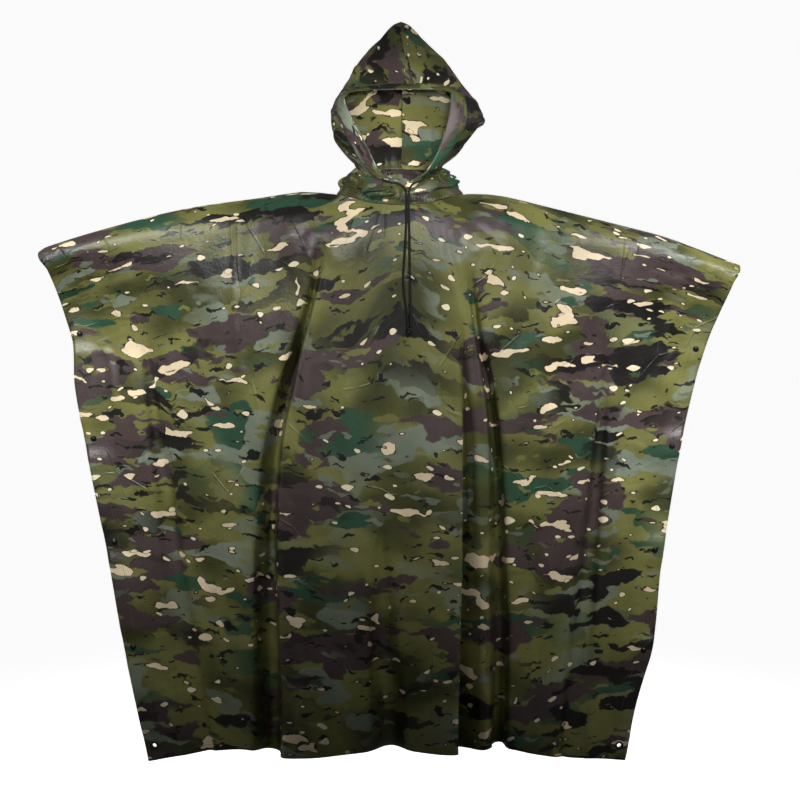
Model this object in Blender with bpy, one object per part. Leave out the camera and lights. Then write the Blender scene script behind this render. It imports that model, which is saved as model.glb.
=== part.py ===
"""Rain poncho with a drawcord hood, worn with both arms held out and no wearer inside.

The body is one wide cloth that hangs over the shoulder line, front and back, with the side
edges snapped together below the arms. The hood stands over an open face. The front faces -Y,
+X is to the right of someone who looks at the front, +Z is up, and the origin is the middle
of the neck, where the shoulders carry the cloth. All sizes are in metres.
"""

import math
from bisect import bisect_left
from collections import namedtuple

import bmesh
import bpy
from mathutils import Matrix, Vector

MM = 0.001
CLOTH = 2.0 * MM                # wall of every cloth piece
SEAM = 0.4 * MM                 # gap between two pieces that are sewn together
FIT = 0.3 * MM                  # gap between a snap or an eyelet and the cloth it grips
SHARP_RIM = math.radians(50)    # an edge this steep or steeper is shaded sharp
FRONT, BACK = -1, 1             # the way each body panel faces along Y

# Body -------------------------------------------------------------------------------------
CUT_WIDTH = 1.430               # body cloth from side edge to side edge
HEM_LEVEL = -1.090              # height at which the tables state the hem
BODY_DROP = 1.110               # from the shoulder line to the hem
NECK_X = -0.004                 # middle of the neckline
NECK_HALF_WIDTH = 0.126
NECK_SIDE_HEIGHT = 0.020
EDGE_STRIP = 0.036              # flat, hemmed strip along each side edge
EDGE_GAP = 1.3 * MM             # from the middle plane to the inside of each fastened edge
EDGE_GAPE = 4.0 * MM            # how far an edge stands off between two snaps
CORNER_GAPE = 3.0 * MM          # how far the free corners stand off at the hem
GAPE_START = 0.048              # from a snap to where its edge begins to stand off
ARM_OPENING = 0.148             # from the top corner to where the edges meet
ARM_RADIUS = 0.045              # cloth over an outstretched arm
ARM_DROP = 0.050
TORSO_HALF_WIDTH = 0.240
CLEAR_OF_MIDDLE = 14.0 * MM     # the deepest fold stops this far from the middle plane
FULLEST_FOLD = 1.6              # the most that a row's folds are deepened to use up the cut width
FOLD_AT_START = 0.28            # half width of a fold where it starts, as a share of its full one
FOLD_OPENING = 0.6              # below 1, a fold deepens early on its way down
EDGE_COLUMNS = (0, 1, -2, -1)   # columns of a panel that lie in its edge strips
FLAT_ENOUGH = 0.7               # an edge strip whose normal leans less than this is made flat
END_OF_NECK = 0.98              # share of the neckline's half width that lies on the neck ring
HEM_ROUNDNESS = 1.3             # above 1, the hanging cloth closes more flatly at its side edges
HANG_DROP = 0.420               # from the shoulder line to where the chest cloth hangs free
NECK_SETTLE = 0.150             # drop over which a line leaves the neckline for its own place
EDGE_SETTLE = 0.045             # the same at the side edges
WIDEST_CELL = 0.060             # between two columns of the body walls
WIDEST_NECK_CELL = 0.026        # between two columns that end at the neckline

Half = namedtuple("Half", "neck_depth neck_height chest_depth hip_depth chest_drop")
HALVES = {
    FRONT: Half(neck_depth=0.118, neck_height=-0.012, chest_depth=0.150, hip_depth=0.152,
                chest_drop=0.160),
    BACK: Half(neck_depth=0.100, neck_height=0.032, chest_depth=0.132, hip_depth=0.140,
               chest_drop=0.130),
}

Outline = namedtuple("Outline", "height left right")
SIDE_EDGES = [
    Outline(-1.110, -0.506, 0.446),
    Outline(-1.000, -0.530, 0.468),
    Outline(-0.880, -0.556, 0.502),
    Outline(-0.720, -0.584, 0.519),
    Outline(-0.480, -0.632, 0.558),
    Outline(-0.360, -0.653, 0.585),
    Outline(-0.280, -0.657, 0.608),
    Outline(-0.220, -0.674, 0.632),
    Outline(-0.160, -0.692, 0.656),
    Outline(-0.120, -0.708, 0.668),
    Outline(-0.090, -0.724, 0.673),
]

Level = namedtuple("Level", "x height")
SHOULDER_LINE = [
    Level(-0.724, -0.093),
    Level(-0.710, -0.084),
    Level(-0.594, -0.048),
    Level(-0.434, -0.008),
    Level(-0.274, 0.015),
    Level(-0.194, 0.026),
    Level(-0.130, 0.021),
    Level(0.122, 0.021),
    Level(0.166, 0.021),
    Level(0.206, 0.016),
    Level(0.286, -0.003),
    Level(0.446, -0.043),
    Level(0.526, -0.064),
    Level(0.606, -0.094),
    Level(0.673, -0.120),
]
HEM = [
    Level(-0.506, -1.110),
    Level(-0.430, -1.097),
    Level(-0.350, -1.080),
    Level(-0.300, -1.076),
    Level(-0.250, -1.085),
    Level(-0.190, -1.084),
    Level(-0.020, -1.063),
    Level(0.104, -1.076),
    Level(0.190, -1.068),
    Level(0.260, -1.086),
    Level(0.330, -1.101),
    Level(0.390, -1.105),
    Level(0.446, -1.110),
]
ROW_DROPS = [0.0, 0.009, 0.024, 0.046, 0.078, 0.115, 0.150, 0.190, 0.240, 0.300, 0.360, 0.425,
             0.490, 0.560, 0.635, 0.710, 0.790, 0.870, 0.950, 1.030, BODY_DROP]

# Where a fold runs, as its X at four heights, and how deep it goes in at the hem before the
# whole row is scaled to use up the cut width. A lean carries its inner edge sideways.
FOLD_HEIGHTS = [HEM_LEVEL, -0.500, -0.140, 0.020]
Fold = namedtuple("Fold", "hem waist chest top half_width inward lean starts")
FOLDS = {
    FRONT: [
        Fold(-0.400, -0.480, -0.520, -0.530, 0.0400, 0.034, 0.000, -0.20),
        Fold(-0.261, -0.253, -0.161, -0.150, 0.0350, 0.082, 0.010, -0.02),
        Fold(-0.023, -0.045, -0.040, -0.030, 0.0500, 0.045, 0.000, -0.62),
        Fold(0.132, 0.132, 0.104, 0.085, 0.0265, 0.075, -0.042, -0.22),
        Fold(0.188, 0.182, 0.130, 0.135, 0.0265, 0.062, 0.004, -0.06),
        Fold(0.335, 0.390, 0.420, 0.430, 0.0350, 0.040, 0.000, -0.25),
    ],
    BACK: [
        Fold(-0.350, -0.420, -0.450, -0.460, 0.0400, 0.050, 0.000, -0.12),
        Fold(-0.200, -0.220, -0.180, -0.165, 0.0330, 0.080, 0.012, -0.04),
        Fold(-0.050, -0.040, -0.040, -0.030, 0.0400, 0.072, 0.000, -0.40),
        Fold(0.090, 0.110, 0.080, 0.070, 0.0330, 0.078, -0.012, -0.16),
        Fold(0.215, 0.240, 0.190, 0.170, 0.0350, 0.070, 0.000, -0.06),
        Fold(0.350, 0.400, 0.430, 0.440, 0.0350, 0.045, 0.000, -0.25),
    ],
}
# X, at the same four heights, of the lines that start at each end of the neckline.
NECK_LINES = {
    FRONT: [(-0.165, -0.180, -0.125, -0.130), (0.160, 0.157, 0.117, 0.122)],
    BACK: [(-0.130, -0.130, -0.128, -0.130), (0.150, 0.170, 0.124, 0.122)],
}

# Neck and hood ----------------------------------------------------------------------------
GATHERS = 50                    # small pleats round the neckline
GATHER_HEIGHT = 3.0 * MM
GATHER_LEVELS = (0.0, 0.16, 0.50, 1.0)   # rows of the gathered band, 0 at the neckline
NECK_SEAM = 0.9 * MM            # gap between the gathered band and the neckline under it
NECK_PUFF = 9.5 * MM            # how far the gathered band swells over the neckline
CLEFT_X = 0.012                 # middle of the dip in the band under the face opening
CLEFT_WIDTH = 0.022
CLEFT_DEPTH = 0.85              # share of the puff and gathers that the dip takes away
PUFF_ROUNDNESS = 0.8            # below 1, the puff is fuller and its widest place lies higher
GATHER_RISE = 1.25              # the gathers fade out before the throat, from a start at the neckline
GATHER_START = 0.05
THROAT_X = -0.006
THROAT_HALF_WIDTH = 0.086
THROAT_DEPTHS = {FRONT: 0.098, BACK: 0.088}
THROAT_SIDE_HEIGHT = 0.074
THROAT_HEIGHTS = {FRONT: 0.034, BACK: 0.084}
NAPE_TURN = 0.743               # where the nape seam meets the throat line
CHIN_TURNS = {-1: 0.265, 1: 0.289}   # where each face edge meets it, left and right
THROAT_BLEND = 0.20             # share of the hood over which it settles on the throat line
PEAK_SPREAD = 0.85              # how the cloth stands out sideways close to the peak
PEAK_LIFT = 0.20                # upward part of that spread
PEAK_REACH = 0.133
HOOD_COLUMNS = 16
CHANNEL_COLUMNS = 2             # columns of the hood that the drawcord channel covers
CHANNEL_STEPS = 4               # steps across the channel
CHANNEL_SWELL = 4.5 * MM

HoodRow = namedtuple("HoodRow", "share face side nape")
HOOD_LEFT = [
    HoodRow(0.00, (0.005, -0.112, 0.036), (-0.096, 0.000, 0.078), (0.000, 0.088, 0.088)),
    HoodRow(0.14, (-0.040, -0.113, 0.052), (-0.108, 0.000, 0.104), (0.000, 0.099, 0.122)),
    HoodRow(0.30, (-0.066, -0.112, 0.100), (-0.130, -0.010, 0.135), (0.000, 0.107, 0.165)),
    HoodRow(0.48, (-0.098, -0.106, 0.160), (-0.134, -0.018, 0.168), (0.000, 0.108, 0.215)),
    HoodRow(0.62, (-0.112, -0.103, 0.200), (-0.122, -0.012, 0.208), (0.000, 0.103, 0.262)),
    HoodRow(0.74, (-0.088, -0.109, 0.210), (-0.104, 0.000, 0.250), (0.000, 0.092, 0.300)),
    HoodRow(0.87, (-0.040, -0.118, 0.211), (-0.074, 0.006, 0.294), (0.000, 0.074, 0.338)),
    HoodRow(1.00, (0.028, -0.122, 0.211), (0.004, -0.030, 0.303), (-0.002, 0.055, 0.378)),
]
HOOD_RIGHT = [
    HoodRow(0.00, (0.019, -0.112, 0.036), (0.092, 0.000, 0.078), (0.000, 0.088, 0.088)),
    HoodRow(0.14, (0.046, -0.113, 0.052), (0.100, 0.000, 0.102), (0.000, 0.099, 0.122)),
    HoodRow(0.30, (0.071, -0.112, 0.098), (0.124, -0.020, 0.130), (0.000, 0.107, 0.165)),
    HoodRow(0.48, (0.087, -0.106, 0.150), (0.156, -0.036, 0.168), (0.000, 0.108, 0.215)),
    HoodRow(0.62, (0.095, -0.103, 0.200), (0.140, -0.012, 0.206), (0.000, 0.103, 0.262)),
    HoodRow(0.74, (0.086, -0.109, 0.210), (0.114, 0.000, 0.244), (0.000, 0.092, 0.300)),
    HoodRow(0.87, (0.062, -0.118, 0.211), (0.076, 0.006, 0.294), (0.000, 0.074, 0.338)),
    HoodRow(1.00, (0.028, -0.122, 0.211), (0.004, -0.030, 0.303), (-0.002, 0.055, 0.378)),
]
HOOD_SHARES = [0.0, 0.085, 0.14, 0.22, 0.30, 0.39, 0.48, 0.56, 0.62, 0.67, 0.74, 0.80, 0.87,
               0.94, 1.0]

# Trim -------------------------------------------------------------------------------------
CORD_RADIUS = 2.0 * MM
CORD_STEP = 11.0 * MM           # between two sections of a cord
CORD_SIDES_RESOLUTION = 2
CORD_LEFT = [
    (-0.0398, -0.0993, 0.0419), (-0.0335, -0.1010, 0.0368), (-0.0265, -0.1042, 0.0342),
    (-0.0180, -0.1075, 0.0325), (-0.0090, -0.1090, 0.0306), (-0.0010, -0.1092, 0.0272),
    (0.0050, -0.1090, 0.0212), (0.0075, -0.1113, 0.0130), (0.0080, -0.1163, 0.0020),
    (0.0080, -0.1238, -0.0080), (0.0080, -0.1311, -0.0200), (0.0080, -0.1375, -0.0360),
    (0.0075, -0.1430, -0.0560), (0.0065, -0.1470, -0.0800), (0.0050, -0.1502, -0.1060),
    (0.0030, -0.1522, -0.1320), (0.0022, -0.1530, -0.1600), (0.0042, -0.1533, -0.1900),
    (0.0085, -0.1536, -0.2160), (0.0110, -0.1540, -0.2360), (0.0115, -0.1544, -0.2503),
]
CORD_RIGHT = [
    (0.0451, -0.0934, 0.0455), (0.0395, -0.0975, 0.0395), (0.0335, -0.1020, 0.0358),
    (0.0275, -0.1060, 0.0332), (0.0208, -0.1085, 0.0293), (0.0156, -0.1092, 0.0222),
    (0.0135, -0.1112, 0.0130), (0.0132, -0.1162, 0.0020), (0.0130, -0.1238, -0.0080),
    (0.0130, -0.1311, -0.0200), (0.0132, -0.1375, -0.0360), (0.0136, -0.1430, -0.0560),
    (0.0140, -0.1470, -0.0800), (0.0143, -0.1502, -0.1060), (0.0145, -0.1522, -0.1320),
    (0.0148, -0.1530, -0.1600), (0.0154, -0.1533, -0.1900), (0.0162, -0.1536, -0.2160),
    (0.0165, -0.1540, -0.2360), (0.0165, -0.1544, -0.2503),
]
KNOT_CENTRE = (0.0140, -0.1552, -0.2575)
KNOT_SIZE = (0.0110, 0.0090, 0.0150)
KNOT_SEGMENTS = 12
KNOT_RINGS = 7

SNAP_INSET = 0.018
SNAP_HEIGHTS = {
    "left": [-0.258, -0.467, -0.674, -0.884],
    "right": [-0.288, -0.482, -0.690, -0.890],
}
SNAP_POST_RADIUS = 1.8 * MM
SNAP_CAP_RADIUS = 6.0 * MM
SNAP_CAP_HEIGHT = 2.6 * MM
SNAP_DISC_RADIUS = 4.6 * MM
SNAP_SIDES = 10
HOLE_CLEARANCE = 0.5 * MM       # round a post or barrel, inside the cloth's hole
EYELET_INSET = 0.018
EYELET_HEIGHTS = {"left": [-1.080], "right": [-1.080]}
EYELET_BORE_RADIUS = 4.5 * MM
EYELET_BARREL_RADIUS = 5.3 * MM
EYELET_FLANGE_RADIUS = 8.5 * MM
EYELET_FLANGE = 1.2 * MM        # thickness at the bore, from where each flange tapers out
EYELET_SIDES = 12
CUTTER_REACH = 0.030

Finish = namedtuple("Finish", "colour roughness metallic")
FINISHES = {
    "camouflage_cloth": Finish((0.085, 0.098, 0.050), 0.42, 0.0),
    "black_cord": Finish((0.012, 0.012, 0.012), 0.80, 0.0),
    "black_snap": Finish((0.020, 0.020, 0.021), 0.30, 0.6),
    "black_eyelet": Finish((0.030, 0.030, 0.032), 0.35, 0.8),
}


# Curves and blends ------------------------------------------------------------------------
def clamp(value, low=0.0, high=1.0):
    return min(max(value, low), high)


def mix(first, second, share):
    return first + (second - first) * share


def ease(value):
    """0 to 1 with no slope at either end."""
    value = clamp(value)
    return value * value * (3.0 - 2.0 * value)


def soft_limit(value, limit):
    """The value where it is small, levelling off towards the limit."""
    return value / (1.0 + (value / limit) ** 4) ** 0.25


def smooth(stations, values, at):
    """The value at a place along a table, on a smooth curve through its rows."""
    at = clamp(at, stations[0], stations[-1])
    after = max(1, bisect_left(stations, at))
    before = after - 1

    def slope(row):
        low, high = max(row - 1, 0), min(row + 1, len(stations) - 1)
        return (values[high] - values[low]) / (stations[high] - stations[low])

    span = stations[after] - stations[before]
    u = (at - stations[before]) / span
    return ((2 * u**3 - 3 * u**2 + 1) * values[before] + (u**3 - 2 * u**2 + u) * span * slope(before)
            + (3 * u**2 - 2 * u**3) * values[after] + (u**3 - u**2) * span * slope(after))


def column_of(table, name):
    return [getattr(row, name) for row in table]


# Body surface -----------------------------------------------------------------------------
def edge_x(name, height):
    """X of the side edge, "left" or "right", at a height."""
    return smooth(column_of(SIDE_EDGES, "height"), column_of(SIDE_EDGES, name), height)


def level(table, x):
    return smooth(column_of(table, "x"), column_of(table, "height"), x)


def fold_growth(fold, height):
    return ease((fold.starts - height) / (fold.starts - HEM_LEVEL)) ** FOLD_OPENING


def fold_x(fold, height):
    return smooth(FOLD_HEIGHTS, [fold.hem, fold.waist, fold.chest, fold.top], height)


def fold_half_width(fold, height):
    return fold.half_width * mix(FOLD_AT_START, 1.0, fold_growth(fold, height))


def edge_line(name, inset):
    return lambda height: edge_x(name, height) + inset


def fold_line(fold, share):
    return lambda height: fold_x(fold, height) + share * fold_half_width(fold, height)


def table_line(places):
    return lambda height: smooth(FOLD_HEIGHTS, places, height)


def line_between(first, second, share):
    return lambda height: mix(first(height), second(height), share)


def body_lines(facing):
    """The lines that run down a panel, left to right, each as a function of the height."""
    lines = [fold_line(fold, share) for fold in FOLDS[facing] for share in (-1.0, -0.5, 0.0, 0.5, 1.0)]
    lines += [table_line(places) for places in NECK_LINES[facing]]
    lines += [edge_line("left", 0.0), edge_line("left", EDGE_STRIP)]
    lines += [edge_line("right", -EDGE_STRIP), edge_line("right", 0.0)]
    lines.sort(key=lambda line: line(-0.30))
    filled = [lines[0]]
    for before, after in zip(lines, lines[1:]):
        widest = max(after(height) - before(height) for height in FOLD_HEIGHTS[:-1])
        at_top = [line(FOLD_HEIGHTS[-1]) for line in (before, after)]
        in_neck = max(abs(x - NECK_X) for x in at_top) <= NECK_HALF_WIDTH + SEAM
        pieces = max(math.ceil(widest / WIDEST_CELL),
                     math.ceil((at_top[1] - at_top[0]) / WIDEST_NECK_CELL) if in_neck else 1)
        filled += [line_between(before, after, piece / pieces) for piece in range(1, pieces)]
        filled.append(after)
    return filled


def gape(name, height):
    """How far a side edge stands off between its snaps and at the hem corner."""
    snaps = SNAP_HEIGHTS[name]
    if height > snaps[0]:
        return 0.0
    most = EDGE_GAPE if height > snaps[-1] else CORNER_GAPE
    nearest = min(abs(height - snap) for snap in snaps)
    return most * ease((nearest - GAPE_START) / GAPE_START)


def full_depth(facing, x, height, drop):
    """Distance of the outer face from the middle plane, before folds."""
    half = HALVES[facing]
    left, right = edge_x("left", height), edge_x("right", height)
    inset = min(x - left, right - x)
    across = clamp((inset - EDGE_STRIP) / ((right - left) / 2 - EDGE_STRIP))
    edge = EDGE_GAP + CLOTH + gape("left" if x - left < right - x else "right", height)
    hanging = mix(edge, half.hip_depth, math.sin(math.pi / 2 * across) ** HEM_ROUNDNESS)
    carried = mix(ARM_RADIUS, half.chest_depth, over_torso(x))
    return mix(carried, hanging, ease(drop / mix(ARM_OPENING, HANG_DROP, across)))


def over_torso(x):
    """1 over the middle of the shoulders, falling to 0 over the arms."""
    return 1.0 / (1.0 + ((x - NECK_X) / TORSO_HALF_WIDTH) ** 4)


def carry_drop(facing, x):
    """Drop below the shoulder line over which the cloth rounds away to its full depth."""
    return mix(ARM_DROP, HALVES[facing].chest_drop, over_torso(x))


def neck_point(facing, share):
    """Neckline from its left side, at 0, round the front or back to its right side, at 1."""
    half = HALVES[facing]
    angle = math.pi * share
    x = NECK_X - NECK_HALF_WIDTH * math.cos(angle)
    y = facing * max(half.neck_depth * math.sin(angle), SEAM / 2)
    z = mix(NECK_SIDE_HEIGHT, half.neck_height, math.sin(angle) ** 2)
    return Vector((x, y, z))


def top_point(facing, line):
    left, right = NECK_X - NECK_HALF_WIDTH, NECK_X + NECK_HALF_WIDTH
    x = line(FOLD_HEIGHTS[-1])
    if left <= x <= right:
        return neck_point(facing, (x - left) / (right - left))
    return Vector((x, facing * SEAM / 2, level(SHOULDER_LINE, x)))


def panel_point(facing, line, drop, fullness):
    """A point of a body panel's outer face, on a line, at a drop, with its folds' fullness."""
    top = top_point(facing, line)
    height = mix(top.z, level(HEM, line(HEM_LEVEL)), drop / BODY_DROP)
    outward = clamp(abs(top.x - NECK_X) / abs(edge_x("right", top.z)))
    x = mix(top.x, line(height), ease(drop / mix(NECK_SETTLE, EDGE_SETTLE, outward)))
    depth = full_depth(facing, x, height, drop)
    inward, lean = 0.0, 0.0
    for fold in FOLDS[facing]:
        offset = (line(height) - fold_x(fold, height)) / fold_half_width(fold, height)
        if abs(offset) < 1.0:
            bump = math.cos(math.pi / 2 * offset) ** 2 * fold_growth(fold, height)
            inward += bump * fold.inward * fullness
            lean += bump * fold.lean * min(fullness, 1.0)
    inward = soft_limit(inward, max(depth - CLEAR_OF_MIDDLE - CLOTH, 0.1 * MM))
    start = 1.0 - clamp(drop / carry_drop(facing, x))
    rounding = math.sqrt(1.0 - start * start)
    y = mix(abs(top.y), depth - inward, rounding)
    return Vector((x + lean, facing * y, height))


def panel_row(facing, lines, drop):
    """One row of a panel, its folds deep enough for the row to use up the cut width."""
    low, high = 0.0, FULLEST_FOLD
    for _ in range(12):
        fullness = (low + high) / 2
        row = [panel_point(facing, line, drop, fullness) for line in lines]
        length = sum((b - a).length for a, b in zip(row, row[1:]))
        low, high = (fullness, high) if length < CUT_WIDTH else (low, fullness)
    return row


# Neck and hood surfaces -------------------------------------------------------------------
def turn_round(turn):
    """The half, and the angle from its left side, of a turn from the left side round the front."""
    turn %= 1.0
    return (FRONT, math.tau * turn) if turn <= 0.5 else (BACK, math.tau * (1.0 - turn))


def throat_point(turn):
    """The narrow line where the hood's lower edge is sewn to the gathered band."""
    facing, angle = turn_round(turn)
    sine = math.sin(angle)
    return Vector((THROAT_X - THROAT_HALF_WIDTH * math.cos(angle),
                   facing * THROAT_DEPTHS[facing] * sine,
                   mix(THROAT_SIDE_HEIGHT, THROAT_HEIGHTS[facing], sine ** 2)))


def neck_ring_point(turn, up, pleat):
    """Gathered band: turn 0 to 1 from the left side round the front, up 0 to 1, pleat -1 to 1."""
    facing, angle = turn_round(turn)
    sine, share = math.sin(angle), angle / math.pi
    base = neck_point(facing, share)
    base.y = facing * HALVES[facing].neck_depth * sine
    base.z += NECK_SEAM
    throat = throat_point(turn)
    outward = Vector((-math.cos(angle), facing * sine, 0.0)).normalized()
    cleft = 1.0 - CLEFT_DEPTH * math.exp(-((base.x - CLEFT_X) / CLEFT_WIDTH) ** 2) * (facing == FRONT)
    swell = NECK_PUFF * cleft * math.sin(math.pi * up ** PUFF_ROUNDNESS) ** PUFF_ROUNDNESS
    rise = math.sqrt(math.sin(math.pi * clamp(GATHER_RISE * up + GATHER_START)))
    gather = GATHER_HEIGHT * pleat * cleft * rise
    return base.lerp(throat, up) + outward * (swell + gather)


def hood_sheet_point(table, across, share):
    """The table's own surface, which rounds out from the face edge by the side to the nape."""
    shares = column_of(table, "share")

    def guide(name):
        places = column_of(table, name)
        return Vector([smooth(shares, [place[axis] for place in places], share) for axis in range(3)])

    face_part = 2.0 * (across - 0.5) * (across - 1.0)
    side_part = 4.0 * across * (1.0 - across)
    nape_part = 2.0 * across * (across - 0.5)
    return guide("face") * face_part + guide("side") * side_part + guide("nape") * nape_part


def hood_point(sign, across, share):
    """A hood side, -1 left or 1 right: across 0 to 1 from face edge to nape, share 0 to 1 up."""
    table = HOOD_LEFT if sign < 0 else HOOD_RIGHT
    end_turn = NAPE_TURN - 1.0 if sign < 0 else NAPE_TURN
    throat = throat_point(mix(CHIN_TURNS[sign], end_turn, across))
    settle = throat - hood_sheet_point(table, across, 0.0)
    from_nape, from_crown = 1.0 - across, 1.0 - share
    near_peak = math.sqrt(from_nape * from_crown) * math.exp(-(from_nape + from_crown) / PEAK_REACH)
    spread = Vector((sign, 0.0, PEAK_LIFT)) * PEAK_SPREAD * near_peak
    return hood_sheet_point(table, across, share) + settle * (1.0 - ease(share / THROAT_BLEND)) + spread


def surface_normals(rows, closed=False):
    """Unit normals of a grid of points, from its neighbours along rows and columns."""
    normals = []
    for r, row in enumerate(rows):
        line = []
        for c in range(len(row)):
            if closed:
                along = row[(c + 1) % len(row)] - row[c - 1]
            else:
                along = row[min(c + 1, len(row) - 1)] - row[max(c - 1, 0)]
            down = rows[min(r + 1, len(rows) - 1)][c] - rows[max(r - 1, 0)][c]
            line.append(along.cross(down).normalized())
        normals.append(line)
    return normals


def moved(rows, normals, distance):
    return [[point + normal * distance for point, normal in zip(*pair)] for pair in zip(rows, normals)]


# Meshes -----------------------------------------------------------------------------------
def finish(name):
    values = FINISHES[name]
    material = bpy.data.materials.get(name) or bpy.data.materials.new(name)
    material.use_nodes = True
    shader = material.node_tree.nodes["Principled BSDF"]
    shader.inputs["Base Color"].default_value = (*values.colour, 1.0)
    shader.inputs["Roughness"].default_value = values.roughness
    shader.inputs["Metallic"].default_value = values.metallic
    return material


def add_object(name, mesh_builder, material):
    """A new object from a bmesh, shaded smooth away from its sharp rims."""
    bmesh.ops.recalc_face_normals(mesh_builder, faces=mesh_builder.faces)
    mesh = bpy.data.meshes.new(name)
    mesh_builder.to_mesh(mesh)
    mesh_builder.free()
    mesh.shade_smooth()
    mesh.set_sharp_from_angle(angle=SHARP_RIM)
    mesh.materials.append(finish(material))
    thing = bpy.data.objects.new(name, mesh)
    bpy.context.scene.collection.objects.link(thing)
    return thing


def cloth_wall(name, outer, inner, closed=False):
    """A closed wall between an outer and an inner grid of points, joined by a rim."""
    builder = bmesh.new()
    outside = [[builder.verts.new(point) for point in row] for row in outer]
    inside = [[builder.verts.new(point) for point in row] for row in inner]
    columns = len(outer[0])
    steps = range(columns if closed else columns - 1)
    for side in (outside, inside):
        for upper, lower in zip(side, side[1:]):
            for c in steps:
                n = (c + 1) % columns
                builder.faces.new((upper[c], upper[n], lower[n], lower[c]))
    for edge in (0, -1):
        for c in steps:
            n = (c + 1) % columns
            builder.faces.new((outside[edge][c], outside[edge][n], inside[edge][n], inside[edge][c]))
        if not closed:
            for r in range(len(outer) - 1):
                builder.faces.new((outside[r][edge], outside[r + 1][edge],
                                   inside[r + 1][edge], inside[r][edge]))
    bmesh.ops.triangulate(builder, faces=builder.faces)
    return add_object(name, builder, "camouflage_cloth")


def turned(name, profile, centre, sides, material, closed_profile=False):
    """A profile of (radius, offset) points turned round an axis along Y through a centre."""
    builder = bmesh.new()
    points = [builder.verts.new((radius, offset, 0.0)) for radius, offset in profile]
    edges = [builder.edges.new(pair) for pair in zip(points, points[1:])]
    if closed_profile:
        edges.append(builder.edges.new((points[-1], points[0])))
    bmesh.ops.spin(builder, geom=points + edges, cent=(0, 0, 0), axis=(0, 1, 0),
                   angle=math.tau, steps=sides, use_merge=True)
    bmesh.ops.remove_doubles(builder, verts=builder.verts, dist=0.01 * MM)
    bmesh.ops.translate(builder, verts=builder.verts, vec=centre)
    return add_object(name, builder, material)


# Pieces -----------------------------------------------------------------------------------
def build_panel(name, facing):
    lines = body_lines(facing)
    outer = [panel_row(facing, lines, drop) for drop in ROW_DROPS]
    normals = surface_normals(outer)
    outward = 1.0 if normals[len(outer) // 2][len(lines) // 2].y * facing > 0 else -1.0
    normals = [[normal * outward for normal in row] for row in normals]
    for c, point in enumerate(outer[0]):
        if abs(point.x - NECK_X) > NECK_HALF_WIDTH * END_OF_NECK:
            normals[0][c] = Vector((normals[0][c].x, 0.0, 1.0)).normalized()
    for row in normals:
        for c in EDGE_COLUMNS:
            if abs(row[c].y) > FLAT_ENOUGH:
                row[c] = Vector((0.0, facing, 0.0))
    return cloth_wall(name, outer, moved(outer, normals, -CLOTH))


def fastener_places(inset, heights):
    for side, inward in (("left", 1), ("right", -1)):
        for number, height in enumerate(heights[side], 1):
            yield side, number, edge_x(side, height) + inward * inset, height


def add_holes(panels):
    """Round holes in both panels where the snaps and eyelets go through."""
    builder = bmesh.new()
    snaps = fastener_places(SNAP_INSET, SNAP_HEIGHTS)
    eyelets = fastener_places(EYELET_INSET, EYELET_HEIGHTS)
    holes = [(x, z, SNAP_POST_RADIUS) for _, _, x, z in snaps]
    holes += [(x, z, EYELET_BARREL_RADIUS) for _, _, x, z in eyelets]
    for x, z, radius in holes:
        place = Matrix.Translation((x, 0.0, z)) @ Matrix.Rotation(math.pi / 2, 4, "X")
        bmesh.ops.create_cone(builder, cap_ends=True, segments=SNAP_SIDES, matrix=place,
                              radius1=radius + HOLE_CLEARANCE, radius2=radius + HOLE_CLEARANCE,
                              depth=2 * CUTTER_REACH)
    cutter = add_object("fastener_holes", builder, "black_eyelet")
    cutter.hide_render = True
    cutter.display_type = "WIRE"
    for panel in panels:
        cut = panel.modifiers.new("fastener_holes", "BOOLEAN")
        cut.operation = "DIFFERENCE"
        cut.object = cutter


def build_snaps():
    """Fastened snaps: a domed cap on each side, a post through both cloths, a disc between."""
    face = EDGE_GAP + CLOTH + FIT
    disc = EDGE_GAP - FIT
    half = [(SNAP_DISC_RADIUS, disc), (SNAP_POST_RADIUS, disc), (SNAP_POST_RADIUS, face),
            (SNAP_CAP_RADIUS, face), (0.0, face + SNAP_CAP_HEIGHT)]
    profile = [(radius, -offset) for radius, offset in reversed(half)] + half
    for side, number, x, z in fastener_places(SNAP_INSET, SNAP_HEIGHTS):
        turned(f"snap_{side}_{number}", profile, (x, 0.0, z), SNAP_SIDES, "black_snap")


def build_eyelets():
    """Rolled eyelets, each gripping one cloth at a hem corner with a flange on both faces."""
    inner = EDGE_GAP + CORNER_GAPE
    low, high = inner - FIT, inner + CLOTH + FIT
    section = [(EYELET_BORE_RADIUS, low - EYELET_FLANGE), (EYELET_FLANGE_RADIUS, low),
               (EYELET_BARREL_RADIUS, low), (EYELET_BARREL_RADIUS, high),
               (EYELET_FLANGE_RADIUS, high), (EYELET_BORE_RADIUS, high + EYELET_FLANGE)]
    for name, facing in (("front", FRONT), ("back", BACK)):
        profile = [(radius, facing * offset) for radius, offset in section]
        for side, _, x, z in fastener_places(EYELET_INSET, EYELET_HEIGHTS):
            turned(f"eyelet_{name}_{side}", profile, (x, 0.0, z), EYELET_SIDES, "black_eyelet",
                   closed_profile=True)


def build_neck_gather():
    columns = 2 * GATHERS
    outer = [[neck_ring_point(c / columns, up, 1 if c % 2 else -1) for c in range(columns)]
             for up in GATHER_LEVELS]
    plain = [[neck_ring_point(c / columns, up, 0) for c in range(columns)] for up in GATHER_LEVELS]
    normals = surface_normals(plain, closed=True)
    outward = 1.0 if normals[1][columns // 4].y < 0 else -1.0
    normals = [[normal * outward for normal in row] for row in normals]
    return cloth_wall("neck_gather", outer, moved(outer, normals, -CLOTH), closed=True)


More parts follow.
